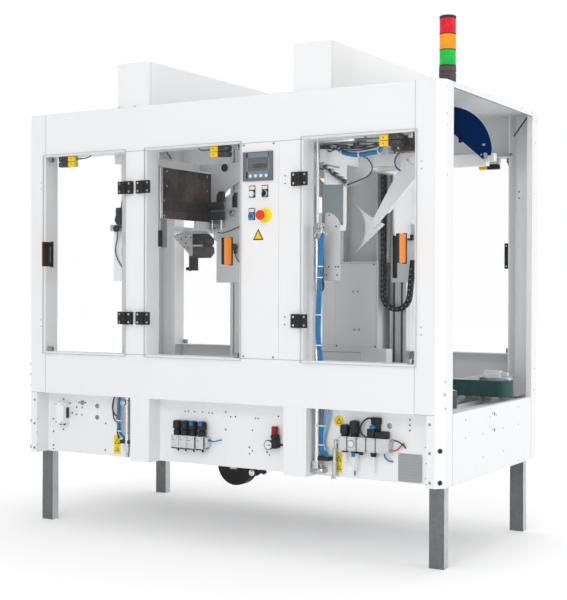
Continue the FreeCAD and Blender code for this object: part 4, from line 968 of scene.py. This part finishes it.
def dress_bay_tubes():
    """Air tubes and cables at both lifts, tied together, with their fittings and coils."""
    put("bay_blue_tubes", bundle(2.9, [(-6, 0, 0), (0, -2, 0), (6, 0, 0)], (-530, -487, 592),
        (-532, -487, 540), (-533, -488, 483), (-524, -488, 430), (-500, -486, 408),
        (-486, -484, 399)) + bundle(2.9, [(-12, 0, 0), (0, -3, 0), (6, 0, 0)], (494, -486, 600),
        (490, -487, 560), (487, -488, 500), (486, -488, 444), (498, -487, 412),
        (516, -484, 398)), BLUE_TUBE, replaces=("air_tubes",))
    put("bay_red_tubes", [piped(2.9, (-541, -482, 592), (-545, -482, 530), (-546, -484, 478),
        (-530, -486, 440), (-511, -485, 408), (-505, -482, 398)), piped(2.9, (482, -482, 592),
        (479, -483, 570), (482, -484, 500), (482, -484, 444), (494, -483, 410),
        (504, -482, 399))], RED_TUBE)
    put("bay_pale_tubes", bundle(2.9, [(4, 0, 0), (10, 0, 0)], (508, -482, 592), (512, -482, 580),
        (504, -483, 530), (490, -484, 480), (488, -484, 446), (500, -482, 420)), PALE_TUBE)
    put("bay_cables", [piped(3.4, (-560, -480, 592), (-570, -480, 566), (-573, -481, 531),
        (-560, -482, 508), (-544, -483, 497), (-541, -482, 470), (-548, -478, 430),
        (-552, BAY - 3, 400)), piped(2.6, (-566, -474, 592), (-574, -474, 560),
        (-577, -474, 520), (-572, -472, 486), (-560, BAY - 3, 470))], CABLE)
    bright = [fitting(-484, -483, 401, 6, 18, (0.5, 0, -1)),
        fitting(-505, -482, 400, 5, 14, (0.2, 0, -1)), fitting(516, -484, 400, 5.5),
        fitting(504, -482, 400), rod(16.5, (-482, -490, 430), (-482, -490, 577), 28, 2),
        rod(7, (-482, -490, 325), (-482, -490, 402)),
        turned([(9, 0), (12.5, 3), (12.5, 10), (9, 12)], (-489, -508, 565), OUT, 24),
        rod(9.6, (469, -490, 415), (469, -490, 516), 24, 1.5),
        turned([(12, 0), (12, 12), (10.5, 13)], (469, -490, 516), count=6),
        block(446, 502, -503, BAY, 332, 352, 3), fitting(458, -488, 352, 5, 16, (0, 0, 1)),
        fitting(488, -488, 352, 5, 17, (0, 0, 1))]
    put("lift_sleeves", bright, NICKEL)
    put("tube_blocks", [block(-520, -462, -500, BAY, 384, 400, 2),
        block(470, 526, -498, BAY, 382, 398, 2)], DARK)
    put("tube_ties", [tie(-533, -486, 483, 16, 9), tie(-527, -487, 437, 14, 8),
        tie(486, -486, 444, 15, 9), tie(489, -487, 520, 16, 8)], WHITE_KEY)


def dress_labels():
    """Bare yellow labels and a round sticker, a bare grey nameplate with blank fields."""
    put("bay_labels", [block(-582, -545, BAY - 0.6, BAY, 330, 414, 0.3, 1),
        block(538, 567, BAY - 0.6, BAY, 335, 416, 0.3, 1),
        rod(21.5, (553, BAY, 540), (553, BAY - 0.7, 540), 36, 0.2)], LABEL)
    rims, fields = [], []
    for x, z, r in ((-563.5, 384, 14), (-563.5, 350, 12), (552.5, 388, 12), (552.5, 354, 11),
            (553, 538, 13)):
        rims.append(plate([(x - r, z - r * 0.6), (x + r, z - r * 0.6), (x, z + r)], "y",
            BAY - 1.0, BAY - 0.5, 0.1))
        fields.append(plate([(x - r * 0.68, z - r * 0.42), (x + r * 0.68, z - r * 0.42),
            (x, z + r * 0.66)], "y", BAY - 1.2, BAY - 0.9, 0.1))
    put("label_rims", rims, BLACK)
    put("label_fields", fields, LABEL)
    put("nameplate", [block(813, 915, BAY - 0.8, BAY, 322, 431, 0.3, 1)], NAMEPLATE)
    lines = [(818, 910, z, z + 0.9) for z in range(332, 426, 12)]
    lines += [(x, x + 0.9, 332, 416) for x in (818, 862, 909)]
    put("nameplate_lines", [block(x0, x1, BAY - 1.1, BAY - 0.6, z0, z1, 0.2, 1)
        for x0, x1, z0, z1 in lines], GREY_CASE)
    put("nameplate_rivets", [screws(2.2, 1.2, [(x, BAY - 0.8, z) for x in (817, 911)
        for z in (326, 427)])], CHROME)


def dress_junction_box():
    """Lid, seam, screws, strip and glands of the small box in the left bay."""
    y = BAY - 45
    put("box_lid", [block(-885.5, -838.5, y - 1.6, y + 16, 451.5, 547.5, 3)], WHITE_HOOD)
    put("box_strip", [block(-840, -836.5, y + 22, BAY - 6, 476, 524, 1),
        block(-884.6, -839.4, y + 15, y + 17.4, 452.4, 546.6, 0.5, 1)], DARK)
    put("box_screws", [screws(3, 1.6, [(x, y - 1.6, z) for x in (-879, -845)
        for z in (459, 540)])], BOLT)
    put("box_glands", [fitting(x, BAY - 20, 452, 6, 9) for x in (-874, -852)], CABLE)


dress_bay_bolts()
dress_valve_bank()
dress_air_preparation()
dress_bay_tubes()
dress_labels()
dress_junction_box()


# Heads, carriages and what hangs inside the enclosure

def dress_left_head():
    """Board screws, bearing blocks, pillars, press cover, carriage motor and brackets."""
    def add(name, shapes, paint, finish=None):
        put(name, shapes, paint, "left_head")

    boards = [(-513, s * y, z) for s in (-1, 1)
        for y, z in ((165, 1608), (165, 1540), (184, 1471), (184, 1402))]
    pillars = [turned([(8, 0), (8, 7), (5.2, 8), (5.2, 56), (7.2, 57), (7.2, 62)],
        (x, 188, 1350)) for x in (-497, -445)]
    add("left_head_screws", [screws(5.2, 2.4, boards, (1, 0, 0)),
        screws(4, 2.2, [(x, 199.6, z) for x in (-495, -450) for z in (1440, 1420)]),
        bolts(7, 4.5, [(-392, 199, 1434), (-545, -30, 1296), (-505, -30, 1262)]),
        bolts(6, 4, [(-530, -30, 1322), (-478, -30, 1322)])] + pillars, CHROME, "bright_steel")
    add("press_cover", [block(-520, -433, 174, 199.4, 1446, 1486, 2.5),
        plate([(-466, 1488), (-428, 1488), (-428, 1537), (-452, 1537), (-466, 1520)], "y", 176,
            199.4, 2),
        block(-534, -430, 168, 199.4, 1399, 1441, 3, 3),
        plate([(-461, 1324), (-405, 1324), (-379, 1300), (-379, 1272), (-461, 1272)], "y", -33,
            33, 3),
        block(-458, -386, -29.5, 29.5, 1260, 1276),
        turned([(21.6, 0), (22, 2), (22, 8), (21.3, 10), (21.3, 60), (22, 62), (22, 67)],
            (-473.7, 0, 1153), count=28),
        rod(8, (-495, -8, 1160), (-510, -8, 1160))], DARK)
    add("press_housing", [plate([(-461, 1264), (-381, 1264), (-376, 1254), (-376, 1234),
        (-396, 1211), (-461, 1211)], "y", -33, 33, 3.5),
        block(-420, -396, -34.5, -32, 1279, 1292, 1), block(-452, -392, -34.5, -32, 1226, 1250)],
        BROWN_CASE)
    add("left_head_brackets", [block(-512, -440, 194, 199.6, 1350, 1398),
        block(-560, -514, 196, 199.6, 1340, 1402),
        block(-528, -506, -214, -210.2, 1338, 1392, 0.8, 1)], ZINC)
    add("strap_face", [block(-501, -476, -213, -210.2, 1255, 1386, 0.8, 1)], STRAP)
    add("strap_stop", [block(-533, -503, -219, -210.2, 1258, 1334, 2)], DARK)
    add("fork_trim", [piped(2.6, (-494, 270, 1340), (-450, 270, 1350), (-398, 270, 1368),
        (-330, 270, 1394)), piped(2.6, (-520, 270, 1345), (-494, 270, 1340))], BLACK)
    add("fork_block", [plate([(-416, 1462), (-392, 1462), (-392, 1534), (-404, 1534),
        (-416, 1510)], "y", 238, 254, 2)], BLACK)
    add("board_guide", [block(-521, -502, -214, -210.2, 1388, 1622, 1.2),
        rod(6.5, (-511.5, -217.5, 1386), (-511.5, -217.5, 1622), 20)], CHROME)
    add("left_head_holes", [holes(4, [(x, 193.9, z) for x in (-470, -486) for z in (1362, 1386)]),
        holes(3.6, [(x, -30.2, z) for x, z in ((-548, 1322), (-524, 1300), (-500, 1280),
            (-486, 1258), (-500, 1310), (-470, 1306))])], BLACK)
    add("side_plate_bore", [turned([(19.5, 0), (19.5, 0.4), (18.5, 0.6)], (-433, 199.7, 1653),
        OUT, 32)], BLACK)
    add("board_seams", [block(-513, -512.2, -199, 199, z, z + 1.4, 0.3, 1)
        for z in (1479, 1425)], BROWN_CASE)
    add("carriage_rear_knob", [turned([(9, 0), (9, 6), (16, 9), (17.5, 13), (17.5, 24), (13, 28),
        (0, 28.5)], (-502, 409, 1276), OUT, 28),
        turned([(8, 0), (8, 14), (6, 18)], (-500, 398, 1260), (0, 0, -1)),
        piped(3, (-500, 398, 1242), (-494, 399, 1222), (-476, 402, 1200), (-450, 406, 1172))],
        BLACK)
    add("carriage_motor", [block(-619, -575, -444, -418, 1322, 1350, 2)], GREY_CASE)
    add("carriage_coil", [block(-574, -548, -462, -418, 1350, 1424, 3)]
        + [block(-576, -546, -464, -420, z, z + 3.5, 1, 1) for z in range(1360, 1420, 12)], DARK)
    add("carriage_knobs", [turned([(4, 0), (4, 8), (13, 10), (15, 13), (15, 22), (11, 25),
        (0, 25.5)], (-570, -444, 1331), OUT, 28), block(-566, -552, -430, -418, 1212, 1246, 2),
        piped(3, (-580, -430, 1398), (-599, -432, 1378), (-596, -432, 1362), (-584, -430, 1350)),
        piped(3.2, (-560, -440, 1424), (-552, -440, 1462), (-546, -438, 1500),
            (-545, -430, 1540), (-548, -420, 1580), (-552, -418, 1620))], BLACK)
    add("carriage_air_tube", [piped(2.8, (-588, -430, 1322), (-590, -430, 1286),
        (-601, -428, 1247), (-598, -426, 1211), (-580, -424, 1178), (-564, -419, 1153))],
        TEAL_TUBE)


def dress_right_head():
    """Carriage faces and blocks, valves, fittings and leads on the gusset, and guide slots."""
    def add(name, shapes, paint, finish=None, replaces=()):
        put(name, shapes, paint, "right_head", replaces)

    drilled = [(482, 1154), (514, 1154), (526, 1154), (472, 1121), (521, 1121), (458, 1313),
        (516, 1316), (459, 1363), (484, 1362)]
    add("carriage_holes", [holes(3.6, [(x, -421, z) for x, z in drilled]),
        holes(3.6, [(x, 409.2, z) for x, z in drilled[:8]])], BLACK)
    corner = [(472 + 62 * math.cos(t), 1310 + 62 * math.sin(t))
        for t in np.linspace(0.06, math.pi / 2, 9)]
    add("carriage_face", [plate([(405, 1099), (534, 1099), (534, 1308), *corner, (405, 1372)],
        "y", -420.6, -417.2, 0.8)], CARRIAGE)
    add("rear_carriage_face", [plate([(362, 1322), (482, 1322), (482, 1362), (470, 1368),
        (362, 1368)], "y", 406.4, 409.2, 0.7)], CARRIAGE)
    add("rear_carriage_slot", [block(370, 392, 403, 409, 1118, 1322)], BLACK)
    valves, fittings = [], []
    for y, z, top in ((-424, 1556, 8), (-384, 1547, 4), (-344, 1534, 8), (-304, 1524, 4),
            (-264, 1512, 8)):
        valves.append(block(462.4, 476, y - 14, y + 12, z - 8, z + top, 2.5))
        fittings += [fitting(475, y - 4, z, 6, 17, (1, 0.4, -0.2)),
            fitting(468, y + 6, z - 8, 5, 16, (0.2, 0.8, -1)),
            fitting(468, y - 10, z + 7, 4.5, 11, (0, -0.8, 1))]
    fittings.append(block(462.4, 467, -430, -300, 1562, 1569))
    add("gusset_valves", valves, DARK)
    add("gusset_fittings", fittings, NICKEL)
    add("gusset_cables", [piped(3, (478, -420, 1546), (486, -400, 1528), (488, -366, 1518),
        (484, -330, 1516), (480, -290, 1504), (472, -262, 1500))], CABLE)
    # Painted shade: a dark teal-grey sheet laid on the gusset's face towards +X, where that face
    # lies in shade.
    add("gusset_painted_shade", [plate([(-441, 1330), (-262, 1330), (-262, 1498), (-441, 1484)], "x",
        462.2, 463.6, 0.3)], TEAL_GREY)
    slots = [block(x - 4.6, x + 4.6, y, y + 7.5, 700, 1838, 0.5, 1)
        for m in (-500, 392) for x in (m - 20, m + 20) for y in (421, 445.5)]
    put("guide_slots", slots[4:] + mirrored(slots), DARK)
    add("disc_cables", [piped(2.4, (452, -117.5, 1640), (500, -117.5, 1618), (524, -117.5, 1580),
        (508, -117.5, 1546), (456, -117.5, 1525), (389, -117.5, 1507)),
        piped(2.4, (292, -124, 1580), (270, -122, 1590), (262, -119, 1606), (275, -117, 1630)),
        piped(2.4, (362, -124, 1560), (372, -128, 1566), (382, -124, 1552))], CABLE)
    add("carriage_blocks", [block(447, 459, -440, -420.4, 1103, 1241, 2),
        piped(4.5, (456, -430, 1106), (462, -430, 1090), (463, -430, 1074), (461, -430, 1062)),
        turned([(4, 0), (4, 5), (12, 7), (14, 10), (14, 20), (11, 23), (0, 23.5)],
            (461, -438, 1066), OUT, 28), block(448, 476, 396, 409, 1292, 1318, 3)], BLACK)
    add("arm_lead", [piped(3.4, (731, -128, 1640), (724, -140, 1646), (700, -141, 1646),
        (676, -141, 1640), (652, -140, 1622), (640, -139, 1597), (646, -138, 1572),
        (664, -135, 1556))], TEAL_TUBE)
    arc = [(782 + 205 * math.cos(t), 1635 + 205 * math.sin(t))
        for t in np.radians(np.linspace(113.1, 3.9, 28))]
    edge = [(984, 1630), (976, 1617), (962, 1610), (946, 1610), (858, 1686), (852, 1686),
        (846, 1681), (838, 1687), (839, 1697), (834, 1707)]
    add("roll_guard_sheet", [plate(arc + edge, "y", 64, 68)], GUARD, "blue_paint",
        ("roll_guard",))
    add("guard_bracket", [block(956, 980, 52, 64, 1600, 1622, 2),
        rod(7, (962, 50, 1627), (962, 64, 1627)), block(945, 958, 62.8, 64.2, 1665, 1673, 1),
        rod(4.2, (941, 62.4, 1628), (941, 64.2, 1628), 14)], ZINC)


def dress_chain():
    """Cable chain: links along the loop, each of two side plates and two cross bars."""
    y0, y1, pitch = 372, 397, 24
    left, middle, low, r = 333, 400.5, 1039.5, 67.5
    bend = [(middle + r * math.cos(a), low + r * math.sin(a))
        for a in np.linspace(math.pi, 2 * math.pi, 40)[1:-1]]
    path = np.array([(left, 1620), (left, low), *bend, (middle + r, low), (483, 1190)])
    run = np.concatenate([[0], np.cumsum(np.linalg.norm(np.diff(path, axis=0), axis=1))])
    side = plate([(-13.5, -8), (-9, -10.6), (9, -10.6), (13.5, -8), (13.5, 8), (9, 10.6),
        (-9, 10.6), (-13.5, 8)], "y", 0, 3, 0.8)
    bar = block(-7, 7, 2.5, 22.5, 8.6, 10.9, 0.9, 1)
    links, pins = [], []
    for i in range(int(run[-1] // pitch)):
        a, b = (np.array([np.interp(s, run, path[:, 0]), np.interp(s, run, path[:, 1])])
            for s in (i * pitch, (i + 1) * pitch))
        x, z = (a + b) / 2
        ahead = (b - a) / np.linalg.norm(b - a)
        rows = np.array([[ahead[0], 0, ahead[1]], [0, 1, 0], [-ahead[1], 0, ahead[0]]])
        shift = 0.25 if i % 2 else 0
        links += [moved(side, (x, y0 + shift, z), rows), moved(side, (x, y1 - 3 - shift, z), rows),
            moved(bar, (x, y0, z), rows), moved((bar[0] * (1, 1, -1), bar[1]), (x, y0, z), rows)]
        pins.append((a[0], y0 - 0.1, a[1]))
    links += [block(322, 344, y0 + 1, y1 - 1, 1608, 1632, 2),
        block(344, 418, y0 + 1, y1 - 1, 1612, 1632, 2),
        block(472, 494, y0 + 1, 401, 1178, 1200, 2)]
    put("chain_links", links, CHAIN, "right_head", ("energy_chain",))
    put("chain_pins", [at_places(turned([(2.6, 0), (2.6, 0.5), (1.8, 0.8)], count=10), pins)],
        GREY_CASE, "right_head")


def dress_ceiling():
    """Wiring tray, cables, tied tubes and dark cover strip under the roof, in front."""
    put("wiring_tray", [block(425, 612, y0, y1, 1646, top, 1) for y0, y1, top in
        ((-452, -330, 1650), (-334, -330, 1684), (-452, -448, 1684))], ZINC)
    put("drive_cover", [block(786, 912, -436, -404, 1598, 1684, 3, 3)], LAMINATE)
    put("drive_cover_screws", [screws(4.5, 2.2, [(x, -436, z) for x in (798, 900)
        for z in (1612, 1672)])], CHROME)
    put("ceiling_tubes", bundle(4.8, [(0, -9, 0), (0, -3, -4), (0, 3, -4), (0, 9, 0), (0, 0, 5)],
        (500, -380, 1642), (520, -380, 1618), (579, -380, 1603), (640, -380, 1606),
        (686, -380, 1613), (700, -384, 1630)), BLUE_TUBE)
    lines = [piped(3.2, (432, -400, 1645), (480, -400, 1632), (540, -400, 1628),
        (600, -400, 1628), (692, -404, 1640)), piped(2.6, (432, -392, 1645), (470, -394, 1622),
        (500, -396, 1630), (560, -392, 1634), (640, -396, 1624), (692, -404, 1632))]
    for n, (drop, y) in enumerate(((0, -428), (-12, -420), (-22, -412), (-30, -424))):
        lines.append(piped(2.2 + 0.4 * (n % 3), (436, y, 1662 + drop),
            (500, y, 1652 + drop + 5 * (n % 2)), (570, y, 1650 + drop - 4 * (n % 2)),
            (640, y, 1646 + drop), (700, y, 1640 + drop / 2), (768, y, 1648)))
    put("ceiling_cables", lines, CABLE)
    put("ceiling_valves", [block(x - 13, x + 13, -424, -404, z - 8, z + 8, 2.5)
        for x, z in ((470, 1640), (548, 1634), (604, 1640), (742, 1632))]
        + [block(762, 786, -430, -404, 1606, 1652, 3)], DARK)
    put("ceiling_fittings", [fitting(x, -414, z, 5, 16, (way, 0, -0.4)) for x, z, way in
        ((483, 1640, 1), (535, 1634, -1), (561, 1634, 1), (617, 1640, 1), (729, 1632, -1),
        (755, 1630, 1))], NICKEL)
    put("ceiling_strip", [block(448, 600, -446, -440, 1660, 1672)], TEAL_GREY)
    lying = np.array([[0, 0, 1], [0, 1, 0], [-1, 0, 0]])
    put("ceiling_ties", [moved(tie(0, 0, 0, 12, 14), (x, -380, z), lying)
        for x, z in ((520, 1618), (599, 1603), (686, 1613))], WHITE_KEY)


def dress_lift_tubes():
    """Tubes up the right lift cylinder, both cylinders' head fittings and the ties."""
    put("lift_tubes", bundle(4, [(-8, -1, 0), (0, 1, 0), (8, 0, 0)], (488, -491, 596),
        (488, -492, 700), (486, -494, 790), (482, -504, 880), (486, -506, 1021),
        (490, -507, 1150), (495, -507, 1228), (496, -505, 1286)), BLUE_TUBE)
    put("lift_ties", [tie(x, -507, z, 15, 8)
        for x, z in ((490, 1154), (488, 1110), (484, 962), (484, 841))], WHITE_KEY)
    parts = [block(474, 502, -512, -492, 1284, 1300, 2.5)]
    for x in (469, -482):
        parts += [turned([(10, 0), (10, 9), (8, 11)], (x, -490, 1315), count=6),
            turned([(14, 0), (14.5, 2), (14.5, 8), (13, 10)], (x, -490, 1255), count=24)]
    parts += [fitting(480, -500, 1300, 5, 20, (0, 0, 1)),
        fitting(493, -500, 1300, 5, 20, (0, 0, 1)),
        fitting(500, -502, 1290, 5.5, 22, (1, 0, -0.5)),
        fitting(476, -506, 1288, 5, 18, (-0.6, -0.4, -1)),
        fitting(488, -508, 1284, 5.5, 18, (0.2, -0.3, -1))]
    put("lift_heads", parts, NICKEL)


def dress_cabinet():
    """Screws on the cabinet and its lid seam, border on the drive housing."""
    put("cabinet_screws", [screws(5, 2.4, [(x, 367, z) for x, z in ((292, 1180), (183, 1054),
        (209, 1054), (190, 876), (215, 876), (96, 798), (96, 1180), (300, 798))])], BOLT)
    put("cabinet_side", [block(15, 83.6, 367.2, 505, 781, 1194, 2)], WHITE)
    put("cabinet_seams", [block(84, 312, 365.6, 367.4, 1187, 1188.6, 0.4, 1),
        block(304, 305.6, 365.6, 367.4, 788, 1187, 0.4, 1)], GREY_CASE)
    put("drive_border", both(framed(44, 270, 730, 775, 3, 280.4, 282.4, 0.6, 1)), CHROME)


def dress_tape_unit():
    """Core, flange rings and small roller of the lower tape roll."""
    for side, name in ((-1, "front"), (1, "rear")):
        put("roll_flange_" + name, [turned([(34, 0), (34, 0.9), (30, 1.6), (27, 1.2), (27, 0.4),
            (12, 0.4), (12, 3.2), (0, 3.6)], (-222, side * 25, 256), (0, side, 0), 36)], DARK)
        put("roll_nut_" + name, [turned([(9, 0), (9, 5), (7.6, 6)], (-222, side * 28, 256),
            (0, side, 0), 6)], CHROME)
    small = (-128, -25, 226)
    put("small_roller_rim", [turned([(21.8, 0), (22.6, 1.5), (22.6, 4), (17, 5), (16, 4)], small,
        OUT, 32)], BLACK)
    put("small_roller_hub", [turned([(15, 0), (15, 5.5), (6, 6.5), (6, 9), (0, 9.4)], small, OUT,
        28)], CHROME)
    put("roller_bracket", [plate([(-118, 238), (-60, 246), (-52, 232), (-66, 222), (-84, 226),
        (-104, 212), (-120, 216)], "y", -24, -18, 1)], DARK)


dress_left_head()
dress_right_head()
dress_chain()
dress_ceiling()
dress_lift_tubes()
dress_cabinet()
dress_tape_unit()


# Frame: joints between sheets, bolts, plugs and drilled holes

def strip(*sides):
    """Thin line laid on a joint."""
    return block(*sides, 0.3, 1)


def dress_seams():
    """Joint lines where posts, beams, columns and the roof meet, in front and behind, and dark
    strips at both ends painted as the shadow under the roof rim.
    """
    face, under = FRONT - 0.35, FRONT + 0.5
    front = [strip(a, b, face, under, z - 1.1, z + 1.1) for z in (780, 1658)
        for a, b in ((-462, -344), (131, 430))]
    hoods, rim_shadow_strips = [], []
    for s in (-1, 1):
        ends = (s * (END - 0.6), s * (END + 0.35))
        for low, high in ((592, 780), (1658, ROOF)):
            front.append(strip(s * 915 - 1, s * 915 + 1, face, under, low, high))
        front.append(strip(s * 915, s * 999, face, under, 591, 593))
        front += [strip(*ends, -442, -440, low, high) for low, high in ((318, 592), (1810, ROOF))]
        # Painted shadow: a dark strip just below the roof rim at each end, where the rim shades
        # the lip.
        rim_shadow_strips.append(strip(*ends, -438, 438, 1826, 1828.6))
    front.append(strip(-915, 915, -458, -456, ROOF - 0.4, ROOF + 0.35))
    for x in (-434, 458):
        for s in (-1, 1):
            hoods += [strip(x - 84.6, x + 84.6, s * 517.6, s * 518.4, ROOF, ROOF + 2.4),
                strip(x + s * 84.1, x + s * 84.9, -518, 518, ROOF, ROOF + 2.4),
                strip(x + s * 84.1, x + s * 84.8, -502, -500.6, ROOF + 2, 2041)]
    put("frame_seams", both(front), SEAM)
    put("roof_rim_shadow_lines", rim_shadow_strips, DARK)
    put("roof_seams", hoods, SEAM)


def dress_frame_bolts():
    """Bolt heads and drilled holes on posts, aprons and columns, plugs on the chamfers."""
    sides = (-1, 1)
    heads = bolts(4.6, 3.4, [(s * x, FRONT, z) for x, z in ((979, 557), (979, 449), (980, 339))
        for s in sides])
    dots = holes(3, [(s * x, FRONT, z) for x, z in ((962, 471), (965, 411), (963, 354),
        (965, 332), (942, 1544), (942, 1516), (942, 922), (942, 893)) for s in sides])
    flange = [(-312, 559), (-311, 487), (-129, 487), (-128, 392), (-55, 548), (-54, 510),
        (-25, 559), (-24, 494), (18, 549), (99, 487), (100, 392), (278, 562), (279, 486),
        (281, 332), (478, 717), (479, 621), (-509, 718), (-508, 618)]
    rim = [(489, 1816), (482, 1716), (471, 1491), (-503, 1824), (-502, 1722), (-502, 1679),
        (-500, 1492), (395, 675), (-444, 1842), (-326, 1844), (300, 1844), (430, 1842)]
    ends, marks, plugs, slots = [], [], [], []
    for s in sides:
        out = (s, 0, 0)
        ends.append(bolts(6, 2, [(s * END, -4, 556), (s * END, -3, 491)], out))
        marks += [holes(4.2, [(s * END, y, z) for y, z in flange], out),
            holes(3.2, [(s * END, y, z) for y, z in rim], out)]
        slots.append(block(s * (END - 0.5), s * (END + 0.5), -516, -510, 664, 677, 0.4, 1))
        plugs.append(grommets(9.5, 2.6, [(s * 1015, -523, z) for z in (459, 340)], (s, -1, 0)))
    put("frame_bolts", both([heads]) + ends, BOLT)
    put("column_holes", [holes(3, [(347, FRONT, z) for z in (1517, 1487, 952, 922)])], BLACK)
    put("frame_holes", both([dots]) + marks + slots, SEAM)
    put("frame_plugs", both(plugs), DARK)
    roof = [(-1003, 505), (-962, 510), (-781, 512), (-760, 512), (-699, 512), (-500, 530),
        (-416, 530), (-120, 512), (220, 512), (640, 512), (930, 512)]
    put("roof_bolts", [bolts(5.5, 4, [(x, -y * s, ROOF) for x, y in roof for s in sides],
        (0, 0, 1))], BOLT)


def dress_rear():
    """Catch, strut and bolts seen at the rear right corner, and the same on the left."""
    dark, light = [], []
    for s in (-1, 1):
        dark += [block(s * 893, s * 914, 505, 530, 1624, 1673, 2.5),
            piped(2.4, (s * 904, 512, 1672), (s * 908, 508, 1690), (s * 912, 498, 1712)),
            rod(3.2, (s * 1008, 452, 1835), (s * 940, 456, 1748), 12)]
        light += [bolts(6, 3.6, [(s * 925, 457, 1668)]),
            bolts(3.6, 2.4, [(s * 965, 457, 1500), (s * 965, 457, 1472)])]
    put("rear_corner_parts", dark, DARK)
    put("rear_corner_bolts", light, BOLT)


def dress_outfeed():
    """Connector, plate and lead on the rear belt, end bolts of both belt drives."""
    put("outfeed_plate", both([block(884, 984, 286, 338, 671, 686, 2),
        block(892, 930, 292, 332, 686, 693, 2)], 0), ZINC)
    put("outfeed_plug", both([block(930, 972, 300, 326, 686, 705, 4, 3),
        rod(8, (912, 313, 697), (932, 313, 697), 20)], 0), PALE_CASE)
    put("outfeed_lead", both([piped(3.2, (913, 313, 697), (890, 308, 699), (872, 296, 692),
        (858, 284, 676), (850, 276, 660))], 0), CABLE)
    put("belt_bolts", [bolts(5, 3.6, [(s * x, y, 670.2) for s in (-1, 1) for x in (560, 700, 840)
        for y in (-334, 334)], (0, 0, 1))], BOLT)


dress_seams()
dress_frame_bolts()
dress_rear()
dress_outfeed()


# Camera, light and floor

AMBIENT = 0.73
FLOOR_LIFT = 0.50


def linked(name, data):
    """New object in the scene."""
    made = bpy.data.objects.new(name, data)
    bpy.context.scene.collection.objects.link(made)
    return made


def camera_at(place, yaw, pitch, roll, lens):
    """Camera at a point in metres: yaw about Z, then pitch up, then roll about its view line."""
    ahead = Vector((-math.sin(yaw) * math.cos(pitch), math.cos(yaw) * math.cos(pitch),
        math.sin(pitch)))
    right = Vector((math.cos(yaw), math.sin(yaw), 0.0))
    up = right.cross(ahead)
    image_right = right * math.cos(roll) + up * math.sin(roll)
    image_up = up * math.cos(roll) - right * math.sin(roll)
    data = bpy.data.cameras.new("camera")
    data.lens = lens
    data.sensor_width = 36.0
    data.clip_start, data.clip_end = 0.05, 100.0
    camera = linked("camera", data)
    turn = Matrix((image_right, image_up, -ahead)).transposed()
    camera.matrix_world = Matrix.Translation(place) @ turn.to_4x4()
    bpy.context.scene.camera = camera


def softbox(name, place, target, width, height, power):
    """Rectangular lamp that faces its target."""
    data = bpy.data.lights.new(name, "AREA")
    data.shape = "RECTANGLE"
    data.size, data.size_y, data.energy = width, height, power
    lamp = linked(name, data)
    lamp.location = place
    lamp.rotation_mode = "QUATERNION"
    lamp.rotation_quaternion = (Vector(target) - Vector(place)).to_track_quat("-Z", "Y")


def maths(tree, operation, first, second):
    """One Math node in any node tree; each input is a number or a link."""
    made = tree.nodes.new("ShaderNodeMath")
    made.operation = operation
    for socket, value in zip(made.inputs, (first, second)):
        if isinstance(value, bpy.types.NodeSocket):
            tree.links.new(value, socket)
        else:
            socket.default_value = value
    return made.outputs[0]


def shown_white(tree, strength):
    """Strength for rays that come from the camera, a mirror or through glass, else zero."""
    path = tree.nodes.new("ShaderNodeLightPath").outputs
    total = maths(tree, "MAXIMUM", path["Is Camera Ray"], path["Is Glossy Ray"])
    total = maths(tree, "MAXIMUM", total, path["Is Transmission Ray"])
    return maths(tree, "MULTIPLY", total, strength)


def sheet(name, corners, paint):
    """One stage sheet, which isn't part of the machine."""
    me = bpy.data.meshes.new(name)
    me.from_pydata(corners, [], [tuple(range(len(corners)))])
    me.materials.append(paint.material)
    made = linked(name, me)
    return made


def studio():
    """Even world light, white to the camera, five lamps, the pale floor with painted shade round
    the machine, and a dark card.
    """
    scene = bpy.context.scene
    scene.view_settings.view_transform = "Standard"
    world = bpy.data.worlds.new("studio")
    world.use_nodes = True
    tree = world.node_tree
    background = tree.nodes["Background"]
    background.inputs["Color"].default_value = (1.0, 1.0, 1.0, 1.0)
    strength = maths(tree, "ADD", shown_white(tree, 1.0 - AMBIENT), AMBIENT)
    tree.links.new(strength, background.inputs["Strength"])
    scene.world = world

    reach = 30.0
    paint = Paint("pale_floor", base_color=(0.90, 0.90, 0.905), roughness=0.9,
        specular_ior_level=0.1)
    # Painted shade: the floor's lift to white is weaker within about 3 m of the middle, so the
    # floor round the machine stays darker.
    far = paint.step(paint.length(paint.place), 1.0, 3.2)
    paint.set("Emission Color", paint.mix(far, (0.42, 0.42, 0.42), (1.0, 1.0, 1.0)))
    paint.set("Emission Strength", shown_white(paint.tree, FLOOR_LIFT))
    sheet("floor", [(-reach, -reach, 0), (reach, -reach, 0), (reach, reach, 0),
        (-reach, reach, 0)], paint)
    wide, tall, back = 11.0, 3.5, -12.0
    card = sheet("dark_backdrop", [(-wide, back, 0.1), (wide, back, 0.1), (wide, back, tall),
        (-wide, back, tall)], Paint("dark_cloth", base_color=(0.07, 0.07, 0.075), roughness=0.9))
    card.visible_camera = False
    softbox("key_front", (2.2, -7.9, 5.6), (0.0, 0.0, 0.9), 3.2, 2.6, 112.0)
    softbox("front_low", (0.9, -8.6, 1.2), (0.0, 0.0, 1.1), 3.4, 1.6, 138.0)
    softbox("side_right", (9.5, 0.3, 3.4), (0.0, 0.0, 1.0), 4.5, 4.0, 136.0)
    softbox("under_roof", (6.5, -0.4, 0.3), (0.4, 0.2, 1.9), 3.0, 1.2, 50.0)
    softbox("top_back", (0.0, 2.5, 5.0), (0.0, 0.0, 1.0), 4.0, 3.0, 32.0)


camera_at((2.8371, -4.7260, 1.0541), 0.5375, -0.0070, 0.0031, 73.04)
studio()
